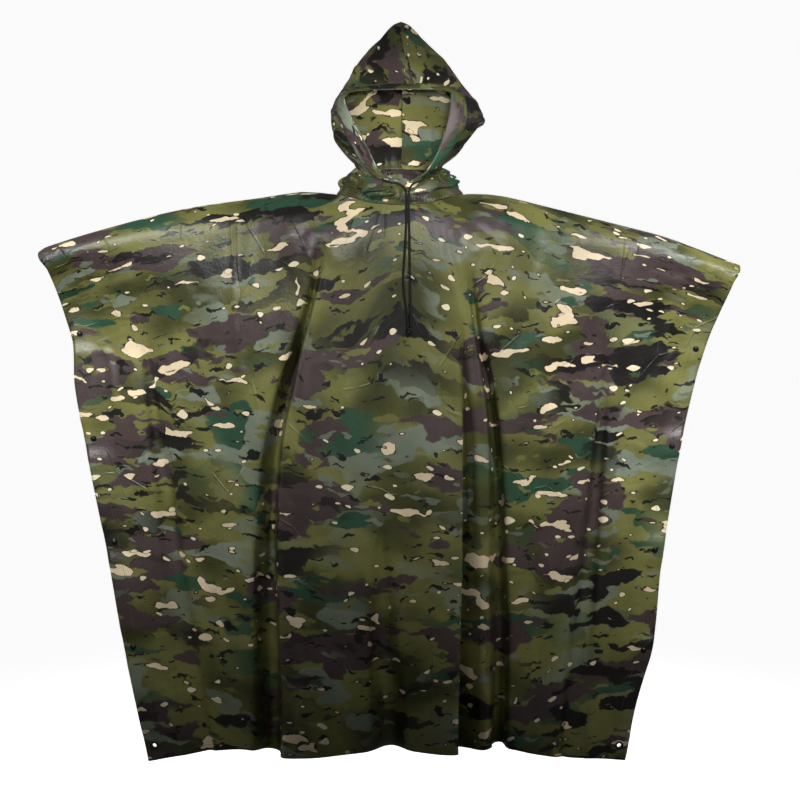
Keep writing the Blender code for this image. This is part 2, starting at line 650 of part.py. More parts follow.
def hood_grid(sign, across_values, shares):
    """Outer points and outward normals of a hood side; sign -1 is the left side."""
    rows = [[hood_point(sign, across, share) for across in across_values] for share in shares]
    normals = surface_normals(rows)
    outward = 1.0 if normals[len(rows) // 3][len(across_values) // 2].x * sign > 0 else -1.0
    normals = [[normal * outward for normal in row] for row in normals]
    return rows, normals


def build_hood_side(name, sign):
    rows, normals = hood_grid(sign, [c / HOOD_COLUMNS for c in range(HOOD_COLUMNS + 1)], HOOD_SHARES)
    last_row, last_column = len(rows) - 1, HOOD_COLUMNS
    for r, row in enumerate(rows):
        for c, point in enumerate(row):
            if r == last_row or c == last_column:
                point.x += sign * SEAM / 2
                normals[r][c] = Vector((0.0, normals[r][c].y, normals[r][c].z)).normalized()
    for point in rows[0]:
        point.z += NECK_SEAM
    return cloth_wall(name, rows, moved(rows, normals, -CLOTH))


def build_face_channel():
    """The drawcord channel: a strip outside the face edge, open at the gathered band."""
    steps = range(CHANNEL_STEPS + 1)
    across_values = [CHANNEL_COLUMNS / HOOD_COLUMNS * step / CHANNEL_STEPS for step in steps]
    lifts = [SEAM + CHANNEL_SWELL * math.sin(math.pi * step / CHANNEL_STEPS) for step in steps]
    left, left_normals = hood_grid(-1, across_values, HOOD_SHARES[1:])
    right, right_normals = hood_grid(1, across_values, HOOD_SHARES[1:])
    brow_normals = [(a + b).normalized() for a, b in zip(left_normals[-1], right_normals[-1])]
    rows = left[:-1] + [left[-1]] + right[-2::-1]
    normals = left_normals[:-1] + [brow_normals] + right_normals[-2::-1]
    inner, outer = [], []
    for points, directions in zip(rows, normals):
        inner.append([p + n * lift for p, n, lift in zip(points, directions, lifts)])
        outer.append([p + n * (lift + CLOTH) for p, n, lift in zip(points, directions, lifts)])
    return cloth_wall("face_channel", outer, inner)


def build_cord(name, route):
    """A cord on one smooth curve through its route, with closed ends."""
    places = [Vector(point) for point in route]
    stations = [0.0]
    for before, after in zip(places, places[1:]):
        stations.append(stations[-1] + (after - before).length)
    sections = math.ceil(stations[-1] / CORD_STEP)
    curve = bpy.data.curves.new(name, "CURVE")
    curve.dimensions = "3D"
    curve.bevel_depth = CORD_RADIUS
    curve.bevel_resolution = CORD_SIDES_RESOLUTION
    curve.use_fill_caps = True
    spline = curve.splines.new("POLY")
    spline.points.add(sections)
    for number, point in enumerate(spline.points):
        at = stations[-1] * number / sections
        point.co = (*[smooth(stations, [place[axis] for place in places], at) for axis in range(3)], 1.0)
    curve.materials.append(finish("black_cord"))
    cord = bpy.data.objects.new(name, curve)
    bpy.context.scene.collection.objects.link(cord)
    return cord


def build_knot():
    builder = bmesh.new()
    size = Matrix.Diagonal((*[length / 2 for length in KNOT_SIZE], 1.0))
    bmesh.ops.create_uvsphere(builder, u_segments=KNOT_SEGMENTS, v_segments=KNOT_RINGS, radius=1.0,
                              matrix=Matrix.Translation(KNOT_CENTRE) @ size)
    return add_object("drawcord_knot", builder, "black_cord")


def main():
    for thing in list(bpy.data.objects):
        bpy.data.objects.remove(thing, do_unlink=True)
    panels = [build_panel("front", FRONT), build_panel("back", BACK)]
    add_holes(panels)
    build_neck_gather()
    build_hood_side("hood_left", -1)
    build_hood_side("hood_right", 1)
    build_face_channel()
    build_snaps()
    build_eyelets()
    build_cord("drawcord_left", CORD_LEFT)
    build_cord("drawcord_right", CORD_RIGHT)
    build_knot()


main()
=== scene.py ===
"""Rain poncho, dressed: fine cloth, sewing, snaps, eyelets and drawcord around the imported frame.

The front faces -Y, +X is to the right of someone who looks at the front, +Z is up, and the
origin is the middle of the neck. All sizes are in metres.
"""

import logging
import math
from collections.abc import Callable, Sequence
from dataclasses import dataclass, field
from enum import Enum
from typing import Any, NamedTuple

import bmesh
import bpy
import numpy as np
from mathutils import Matrix, Vector

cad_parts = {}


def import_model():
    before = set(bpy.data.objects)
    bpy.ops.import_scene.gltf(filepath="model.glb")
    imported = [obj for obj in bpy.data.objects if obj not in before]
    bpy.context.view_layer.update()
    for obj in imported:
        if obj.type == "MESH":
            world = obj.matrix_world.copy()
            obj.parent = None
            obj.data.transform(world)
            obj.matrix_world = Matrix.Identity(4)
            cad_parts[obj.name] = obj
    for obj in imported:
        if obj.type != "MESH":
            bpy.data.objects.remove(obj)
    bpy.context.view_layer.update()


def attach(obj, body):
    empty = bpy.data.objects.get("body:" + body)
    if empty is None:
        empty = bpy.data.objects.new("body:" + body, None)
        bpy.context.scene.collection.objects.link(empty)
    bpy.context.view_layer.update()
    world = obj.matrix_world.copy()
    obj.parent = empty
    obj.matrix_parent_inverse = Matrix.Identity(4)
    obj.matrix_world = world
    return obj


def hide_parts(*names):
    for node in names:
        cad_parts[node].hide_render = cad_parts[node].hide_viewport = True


Array = np.ndarray
BMesh = bmesh.types.BMesh
Material = bpy.types.Material
Object = bpy.types.Object
Point = tuple[float, float, float]

log = logging.getLogger("rain_poncho")

MM = 0.001
SEAM = 0.4 * MM                 # gap between two pieces that are sewn together
BODY = "root"
CUT_MAP = "cut"                 # UV map that holds each point's place on the flat cloth, in metres
STITCH_BATCH = 40               # stitches shaped together before they join the rest
STITCH_SIDES, STITCH_RINGS = 5, 4
STITCH_RISE = 0.35              # share of its radius that a stitch stands clear of the cloth
CREASE_STEPS = 8                # steps of a crease's line for each point of its route
CREASE_REACH = 3.0              # how many widths away a crease still moves the surface
CREASE_END = 0.6                # share of its width that a crease keeps at its ends
METAL_RIM = math.radians(40)    # an edge this steep or steeper is shaded sharp on metal
WELD = 0.005 * MM               # points of a turned piece closer than this become one
ANY_WAY = Vector((0.31, 0.83, 0.47))    # a direction that no cord follows


def preset(rows: dict) -> Any:
    """A dataclass field that holds a table by side or by half."""
    return field(default_factory=lambda: rows)


def blank(*size: int) -> Any:
    """A dataclass field that holds an empty array until its piece is worked out."""
    return field(init=False, default_factory=lambda: np.zeros(size))


class Facing(Enum):
    """The two halves of the body, by the way each faces along Y."""

    FRONT = -1
    BACK = 1


class Side(Enum):
    """The two sides of the garment, by the sign of their X."""

    LEFT = -1
    RIGHT = 1


# Curves and blends ------------------------------------------------------------------------
def mix(first: Any, second: Any, share: Any) -> Any:
    """The value at a share of the way from the first to the second."""
    return first + (second - first) * share


def ease(value: Any) -> Any:
    """0 to 1 with no slope at either end."""
    value = np.clip(value, 0.0, 1.0)
    return value * value * (3.0 - 2.0 * value)


def bell(value: Any) -> Any:
    """1 at zero, falling smoothly to nothing at about two either way."""
    return np.exp(-np.square(value))


def smooth(stations: Sequence[float], values: Sequence[Any], at: Any) -> Array:
    """The value at places along a table, on a smooth curve through its rows.

    Args:
        stations: The table's rising places.
        values: A number or a point for each place.
        at: One place or an array of them.

    Returns:
        An array of the shape of at, with one more axis where the values are points.
    """
    stations, values = np.asarray(stations, float), np.asarray(values, float)
    rows = np.arange(len(stations))
    low, high = np.maximum(rows - 1, 0), np.minimum(rows + 1, len(rows) - 1)
    run = stations[high] - stations[low]
    slopes = (values[high] - values[low]) / run.reshape(run.shape + (1,) * (values.ndim - 1))
    at = np.clip(np.asarray(at, float), stations[0], stations[-1])
    after = np.clip(np.searchsorted(stations, at), 1, len(stations) - 1)
    before = after - 1
    span = stations[after] - stations[before]
    u = (at - stations[before]) / span
    if values.ndim > 1:
        u, span = u[..., None], span[..., None]
    return ((2 * u**3 - 3 * u**2 + 1) * values[before]
            + (u**3 - 2 * u**2 + u) * span * slopes[before]
            + (3 * u**2 - 2 * u**3) * values[after] + (u**3 - u**2) * span * slopes[after])


def lengths_along(points: Array) -> Array:
    """The distance run at each point of a line of points, from 0 at the first."""
    steps = np.linalg.norm(np.diff(points, axis=0), axis=1)
    return np.concatenate([[0.0], np.cumsum(steps)])


def resampled(points: Array, count: int) -> Array:
    """The same line with evenly spaced points.

    Args:
        points: The line's points, one a row.
        count: The number of points wanted.

    Returns:
        The new points, one a row, with the same ends.
    """
    run = lengths_along(points)
    places = np.linspace(0.0, run[-1], count)
    return np.stack([np.interp(places, run, column) for column in points.T], axis=1)


class Ripples:
    """Smooth random waves over a plane, the same on each run."""

    def __init__(self, seed: int, size: int = 64) -> None:
        """Draws the lattice of values.

        Args:
            seed: Number that fixes the draw.
            size: Lattice points each way before the waves repeat.
        """
        self.size = size
        self.lattice = np.random.default_rng(seed).uniform(-1.0, 1.0, (size, size))

    def __call__(self, x: Array, y: Array) -> Array:
        """The wave at each place, about -1 to 1, with one lattice cell to a unit of x and y."""
        column, row = np.floor(x).astype(int), np.floor(y).astype(int)
        u, v = x - column, y - row
        u, v = u**3 * (u * (6 * u - 15) + 10), v**3 * (v * (6 * v - 15) + 10)
        c0, c1 = column % self.size, (column + 1) % self.size
        r0, r1 = row % self.size, (row + 1) % self.size
        upper = mix(self.lattice[r0, c0], self.lattice[r0, c1], u)
        lower = mix(self.lattice[r1, c0], self.lattice[r1, c1], u)
        return mix(upper, lower, v)

    def ridges(self, x: Array, y: Array) -> Array:
        """Sharp-crested waves, 0 in the flats and 1 along the crests."""
        return (1.0 - np.abs(self(x, y))) ** 4


class Crease(NamedTuple):
    """A soft ridge or trough laid along a curve on a surface's own two coordinates."""

    route: tuple[tuple[float, float], ...]
    width: float
    depth: float        # above 0 a ridge, below 0 a trough
    roll: float = 0.0   # lifts one flank and sinks the other, as where cloth laps over itself


class Waves(NamedTuple):
    """Random waves of a cloth: their height, and how far apart they are across and down it."""

    height: float
    across: float
    down: float


class Crumple(NamedTuple):
    """A zone of small sharp-crested wrinkles on the body cloth."""

    x: float
    z: float
    half_width: float
    half_height: float
    height: float


def in_metres(crease: Crease) -> Crease:
    """A crease whose route, width and depth were written in millimetres."""
    return Crease(tuple((a * MM, b * MM) for a, b in crease.route), crease.width * MM,
                  crease.depth * MM, crease.roll)


def crease_field(creases: Sequence[Crease], a: Array, b: Array) -> Array:
    """How far the creases move each point of a surface along its normal.

    Args:
        creases: The creases.
        a: First coordinate of each point.
        b: Second coordinate of each point.

    Returns:
        The distances, outward above 0.
    """
    total = np.zeros_like(a)
    for crease in creases:
        route = np.array(crease.route)
        stations = lengths_along(route)
        line = smooth(stations, route,
                      np.linspace(0.0, stations[-1], CREASE_STEPS * len(route)))
        reach = CREASE_REACH * crease.width
        near = ((a > line[:, 0].min() - reach) & (a < line[:, 0].max() + reach)
                & (b > line[:, 1].min() - reach) & (b < line[:, 1].max() + reach))
        place = np.stack([a[near], b[near]], axis=1)
        best = np.full(len(place), np.inf)
        signed, along = np.zeros(len(place)), np.zeros(len(place))
        for step, (start, end) in enumerate(zip(line, line[1:])):
            way = end - start
            share = np.clip((place - start) @ way / (way @ way), 0.0, 1.0)
            gap = place - start - share[:, None] * way
            distance = np.linalg.norm(gap, axis=1)
            closer = distance < best
            best = np.where(closer, distance, best)
            side = np.sign(way[0] * gap[:, 1] - way[1] * gap[:, 0])
            signed = np.where(closer, side * distance, signed)
            along = np.where(closer, (step + share) / (len(line) - 1), along)
        taper = np.sqrt(np.clip(np.sin(math.pi * along), 0.0, 1.0))
        offset = signed / (crease.width * mix(CREASE_END, 1.0, taper))
        total[near] += crease.depth * taper * bell(offset) * (1.0 + crease.roll * offset)
    return total


# Meshes -----------------------------------------------------------------------------------
def faced(normals: Array, axis: int, sign: int) -> Array:
    """Normals, all turned round unless on the whole they point along an axis by its sign.

    Args:
        normals: The normals.
        axis: 0, 1 or 2 for X, Y or Z.
        sign: -1 or 1.

    Returns:
        The normals or their opposites.
    """
    return normals * math.copysign(1.0, float(np.sum(normals[..., axis])) * sign)


def surface_normals(points: Array, wrapped: bool = False) -> Array:
    """Unit normals of a grid of points, along-row by down-column.

    Args:
        points: Rows by columns by three.
        wrapped: Whether the last column's neighbour is the first but one, as round a tube.

    Returns:
        Normals of the same shape.
    """
    if wrapped:
        ring = np.concatenate([points[:, -2:-1], points, points[:, 1:2]], axis=1)
        along = ring[:, 2:] - ring[:, :-2]
    else:
        along = np.gradient(points, axis=1)
    normals = np.cross(along, np.gradient(points, axis=0))
    return normals / np.maximum(np.linalg.norm(normals, axis=2, keepdims=True), 1e-12)


def add_object(name: str, builder: BMesh, materials: Sequence[Material],
               sharp: float = math.radians(180)) -> Object:
    """A new object from a bmesh, at the origin, shaded smooth away from its sharp edges.

    Args:
        name: The object's name.
        builder: The finished bmesh, which is freed.
        materials: Its materials, in slot order.
        sharp: An edge this steep or steeper is shaded sharp.

    Returns:
        The object, linked to the scene.
    """
    mesh = bpy.data.meshes.new(name)
    builder.to_mesh(mesh)
    builder.free()
    mesh.shade_smooth()
    mesh.set_sharp_from_angle(angle=sharp)
    for material in materials:
        mesh.materials.append(material)
    thing = bpy.data.objects.new(name, mesh)
    bpy.context.scene.collection.objects.link(thing)
    return thing


def grid_builder(points: Array, cut: Array, wrapped: bool = False) -> BMesh:
    """A plain grid bent into a surface, with its flat coordinates in the cut map.

    Args:
        points: Rows by columns by three.
        cut: Rows by columns by two, each point's place on the flat cloth.
        wrapped: Whether the first and last columns are the same line and are joined.

    Returns:
        The bmesh, one sheet of quads.
    """
    rows, columns = points.shape[:2]
    builder = bmesh.new()
    bmesh.ops.create_grid(builder, x_segments=columns - 1, y_segments=rows - 1, size=0.5)
    places = []
    for vertex in builder.verts:
        column = round((vertex.co.x + 0.5) * (columns - 1))
        row = round((vertex.co.y + 0.5) * (rows - 1))
        places.append((row, column))
        vertex.co = points[row, column]
    layer = builder.loops.layers.uv.new(CUT_MAP)
    for face in builder.faces:
        for loop in face.loops:
            loop[layer].uv = cut[places[loop.vert.index]]
    if wrapped:
        bmesh.ops.remove_doubles(builder, verts=builder.verts, dist=0.001 * MM)
    return builder


def cloth_object(name: str, points: Array, cut: Array, outward: Array,
                 material: Material, thickness: float, wrapped: bool = False,
                 holes: Sequence[Point] = ()) -> Object:
    """A cloth shell whose outer face is a grid of points.

    Args:
        name: The object's name.
        points: Rows by columns by three.
        cut: Each point's place on the flat cloth.
        outward: A normal of the same shape, which says which face is the outer one.
        material: The cloth's material.
        thickness: The wall, laid inwards.
        wrapped: Whether the grid closes round.
        holes: X, Z and radius of each hole through the cloth.

    Returns:
        The object.
    """
    builder = grid_builder(points, cut, wrapped)
    builder.faces.ensure_lookup_table()
    builder.normal_update()
    middle = (points.shape[0] // 2, points.shape[1] // 2)
    place = Vector(points[middle])
    nearest = min(builder.faces, key=lambda face: (face.calc_center_median() - place).length)
    if nearest.normal.dot(Vector(outward[middle])) < 0:
        bmesh.ops.reverse_faces(builder, faces=builder.faces)
    for x, z, radius in holes:
        pierce(builder, x, z, radius)
    thing = add_object(name, builder, [material])
    wall = thing.modifiers.new("wall", "SOLIDIFY")
    wall.thickness = thickness
    wall.offset = -1.0
    return thing


def pierce(builder: BMesh, x: float, z: float, radius: float) -> None:
    """Cuts a round hole through a sheet, along Y.

    Args:
        builder: The sheet.
        x: X of the hole's middle.
        z: Z of the hole's middle.
        radius: The hole's radius.
    """
    def far(place: Vector) -> float:
        return math.hypot(place.x - x, place.z - z)

    for reach in (3.0 * radius, 2.0 * radius):     # finer in two rounds towards the rim
        near = [edge for edge in builder.edges
                if min(far(vertex.co) for vertex in edge.verts) < reach]
        bmesh.ops.subdivide_edges(builder, edges=near, cuts=2, use_grid_fill=True)
    inside = [face for face in builder.faces if far(face.calc_center_median()) < radius]
    bmesh.ops.delete(builder, geom=inside, context="FACES")


def stitches(name: str, runs: Sequence[tuple[Array, Array]], material: Material,
             pitch: float = 4.4 * MM, length: float = 3.4 * MM,
             radius: float = 0.42 * MM) -> Object:
    """Rows of thread stitches, half sunk in the cloth, as one mesh.

    Args:
        name: The object's name.
        runs: For each row the points it follows and the cloth's normals there.
        material: The thread's material.
        pitch: From one stitch to the next.
        length: Of one stitch.
        radius: Of the thread.

    Returns:
        The object.
    """
    def along(values: Array, run: Array, at: float) -> Vector:
        return Vector([np.interp(at, run, values[:, axis]) for axis in range(3)])

    places = []
    for points, normals in runs:
        run = lengths_along(points)
        count = int(run[-1] / pitch)
        for at in (np.arange(count) + 0.5) * run[-1] / max(count, 1):
            tail, middle, head = (along(points, run, at + step)
                                  for step in (-length / 2, 0.0, length / 2))
            up = along(normals, run, at).normalized()
            way = (head - tail).normalized()
            side = way.cross(up).normalized()
            turn = Matrix((side, side.cross(way), way)).transposed().to_4x4()
            size = Matrix.Diagonal((radius, radius, length / 2, 1.0))
            places.append(Matrix.Translation(middle + up * radius * STITCH_RISE) @ turn @ size)
    builder = bmesh.new()
    for first in range(0, len(places), STITCH_BATCH):
        batch = bmesh.new()
        for place in places[first:first + STITCH_BATCH]:
            bmesh.ops.create_uvsphere(batch, u_segments=STITCH_SIDES, v_segments=STITCH_RINGS,
                                      radius=1.0, matrix=place)
        mesh = bpy.data.meshes.new("stitch_batch")
        batch.to_mesh(mesh)
        batch.free()
        builder.from_mesh(mesh)
        bpy.data.meshes.remove(mesh)
    bmesh.ops.recalc_face_normals(builder, faces=builder.faces)
    return add_object(name, builder, [material])


def tube(name: str, route: Array, radius: Callable[[float, float], float], sides: int,
         material: Material, closed: bool = False) -> Object:
    """A tube swept along a line, with its length and turn in the cut map.

    Args:
        name: The object's name.
        route: The middle line's points, evenly spaced.
        radius: The radius at a distance run and an angle round.
        sides: Corners of a section.
        material: The tube's material.
        closed: Whether the line runs back into itself.

    Returns:
        The object.
    """
    run = lengths_along(route)
    ways = np.gradient(route, axis=0)
    side = ANY_WAY
    rings = []
    for place, way, at in zip(route, ways, run):
        way = Vector(way).normalized()
        side = (side - way * side.dot(way)).normalized()
        other = way.cross(side)
        ring = []
        for corner in range(sides + 1):
            angle = math.tau * (corner % sides) / sides
            direction = side * math.cos(angle) + other * math.sin(angle)
            ring.append(Vector(place) + direction * radius(at, angle))
        rings.append(ring)
    points = np.array([[list(corner) for corner in ring] for ring in rings])
    angles = np.linspace(0.0, 1.0, sides + 1)
    cut = np.stack(np.broadcast_arrays(angles[None, :], run[:, None]), axis=2)
    builder = grid_builder(points, cut, wrapped=True)
    if not closed:
        ends = [edge for edge in builder.edges if edge.is_boundary]
        bmesh.ops.holes_fill(builder, edges=ends, sides=0)
    bmesh.ops.recalc_face_normals(builder, faces=builder.faces)
    return add_object(name, builder, [material])


def turned(name: str, profile: Sequence[tuple[float, float]], centre: Vector, sides: int,
           material: Material, ring: bool = False) -> Object:
    """A profile of (radius, offset) points turned round an axis along Y.

    Args:
        name: The object's name.
        profile: The section, from the axis or round a ring.
        centre: The middle of the turned piece.
        sides: Steps of the full turn.
        material: The piece's material.
        ring: Whether the profile closes on itself.

    Returns:
        The object.
    """
    builder = bmesh.new()
    corners = [builder.verts.new((radius, offset, 0.0)) for radius, offset in profile]
    edges = [builder.edges.new(pair) for pair in zip(corners, corners[1:])]
    if ring:
        edges.append(builder.edges.new((corners[-1], corners[0])))
    bmesh.ops.spin(builder, geom=corners + edges, cent=(0, 0, 0), axis=(0, 1, 0),
                   angle=math.tau, steps=sides, use_merge=True)
    bmesh.ops.remove_doubles(builder, verts=builder.verts, dist=WELD)
    bmesh.ops.recalc_face_normals(builder, faces=builder.faces)
    bmesh.ops.translate(builder, verts=builder.verts, vec=centre)
    return add_object(name, builder, [material], METAL_RIM)


def join_body(things: Sequence[Object]) -> None:
    """Fixes finished pieces to the part's one body.

    Args:
        things: The pieces.
    """
    for thing in things:
        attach(thing, BODY)


# Materials --------------------------------------------------------------------------------
Colour = Point


class Value:
    """A shader socket that takes part in arithmetic, each step of which adds a node."""

    def __init__(self, graph: "Graph", socket: bpy.types.NodeSocket) -> None:
        """Wraps a socket of a graph."""
        self.graph = graph
        self.socket = socket

    def _math(self, operation: str, *others: "Value | float") -> "Value":
        """The result of a Math node with this value first."""
        return self.graph.value("ShaderNodeMath", {"operation": operation},
                                {0: self, **dict(enumerate(others, 1))})

    def __add__(self, other: "Value | float") -> "Value":
        """This plus the other."""
        return self._math("ADD", other)

    def __sub__(self, other: "Value | float") -> "Value":
        """This less the other."""
        return self._math("SUBTRACT", other)

    def __mul__(self, other: "Value | float") -> "Value":
        """This times the other."""
        return self._math("MULTIPLY", other)

    __radd__, __rmul__ = __add__, __mul__

    def sine(self) -> "Value":
        """Its sine."""
        return self._math("SINE")

    def size(self) -> "Value":
        """It without its sign."""
        return self._math("ABSOLUTE")

    def between(self, low: float, high: float) -> "Value":
        """0 below the low value, 1 above the high one, smooth between; falls if low is larger."""
        return self.graph.value("ShaderNodeMapRange", {"interpolation_type": "SMOOTHSTEP"},
                                {"Value": self, "From Min": low, "From Max": high}, "Result")


class Graph:
    """One material's nodes, built from a Principled shader backwards."""

    def __init__(self, name: str) -> None:
        """Starts a material with a Principled shader."""
        self.material = bpy.data.materials.new(name)
        self.material.use_nodes = True
        self.nodes = self.material.node_tree.nodes
        self.links = self.material.node_tree.links
        self.shader = self.nodes["Principled BSDF"]

    def fill(self, node: bpy.types.Node, inputs: dict[str | int, Any]) -> None:
        """Sets or links a node's sockets.

        Args:
            node: The node.
            inputs: For each socket's name or number a number, a colour or a value.
        """
        for key, given in inputs.items():
            socket = node.inputs[key]
            if isinstance(given, Value):
                self.links.new(given.socket, socket)
            elif isinstance(given, tuple) and socket.type == "RGBA":
                socket.default_value = (*given[:3], 1.0)
            else:
                socket.default_value = given

    def value(self, kind: str, settings: dict[str, Any], inputs: dict[str | int, Any],
              output: str | int = 0) -> Value:
        """A new node's output.

        Args:
            kind: The node's type.
            settings: Its settings, set before its sockets.
            inputs: Its sockets.
            output: The output wanted.

        Returns:
            The output, ready for arithmetic.
        """
        node = self.nodes.new(kind)
        for key, given in settings.items():
            setattr(node, key, given)
        self.fill(node, inputs)
        return Value(self, node.outputs[output])

    def noise(self, place: Value, scale: float, detail: float = 2.0, roughness: float = 0.5,
              output: str = "Fac") -> Value:
        """Smooth random values about 0.5 over a place."""
        return self.value("ShaderNodeTexNoise", {"noise_dimensions": "3D"},
                          {"Vector": place, "Scale": scale, "Detail": detail,
                           "Roughness": roughness}, output)

    def moved(self, place: Value, offset: Point, scale: Point = (1.0, 1.0, 1.0),
              turn: float = 0.0) -> Value:
        """A place shifted, turned about Z and stretched."""
        return self.value("ShaderNodeMapping", {"vector_type": "POINT"},
                          {"Vector": place, "Location": offset, "Rotation": (0.0, 0.0, turn),
                           "Scale": scale}, "Vector")

    def blend(self, first: "Value | Colour", second: "Value | Colour",
              share: "Value | float") -> Value:
        """A colour at a share of the way from the first to the second."""
        return self.value("ShaderNodeMix", {"data_type": "RGBA", "clamp_factor": True},
                          {0: share, 6: first, 7: second}, 2)

    def vector(self, operation: str, first: Any, second: Any) -> Value:
        """The result of a Vector Math node."""
        return self.value("ShaderNodeVectorMath", {"operation": operation},
                          {0: first, (3 if operation == "SCALE" else 1): second})

    def parts(self, place: Value) -> tuple[Value, Value, Value]:
        """The three numbers of a place."""
        node = self.value("ShaderNodeSeparateXYZ", {}, {0: place})
        return tuple(Value(self, output) for output in node.socket.node.outputs)

    def cut(self) -> Value:
        """The cut map's place, in metres of flat cloth."""
        return self.value("ShaderNodeUVMap", {"uv_map": CUT_MAP}, {}, "UV")

    def around(self) -> Value:
        """The place in the garment's own frame."""
        return self.value("ShaderNodeTexCoord", {}, {}, "Object")

    def bump(self, height: Value, distance: float, under: Value | None = None) -> Value:
        """A normal tilted by a height times a distance in metres, over another normal."""
        inputs: dict[str | int, Any] = {"Strength": 1.0, "Distance": distance, "Height": height}
        if under is not None:
            inputs["Normal"] = under
        return self.value("ShaderNodeBump", {}, inputs, "Normal")


@dataclass(frozen=True)
class Blotch:
    """One layer of a printed pattern: ragged shapes of one colour, wider than they are high."""

    colour: Colour
    spacing: tuple[float, float]    # from shape to shape, across and down the cloth
    edge: float                     # the noise value at its outline: higher covers less
    offset: float                   # moves the layer's own pattern
    detail: float = 2.0
    softness: float = 0.006
    drift: float = 1.0              # how far the outline follows the common raggedness
    cluster: float = 0.0            # how strongly the shapes keep to their own groves
    grove: float = 0.22             # from grove to grove
    fade: float = 0.0               # from fade to fade, where shapes thin out into the ground
    rim: Colour | None = None       # a thin outline
    rim_width: float = 0.014


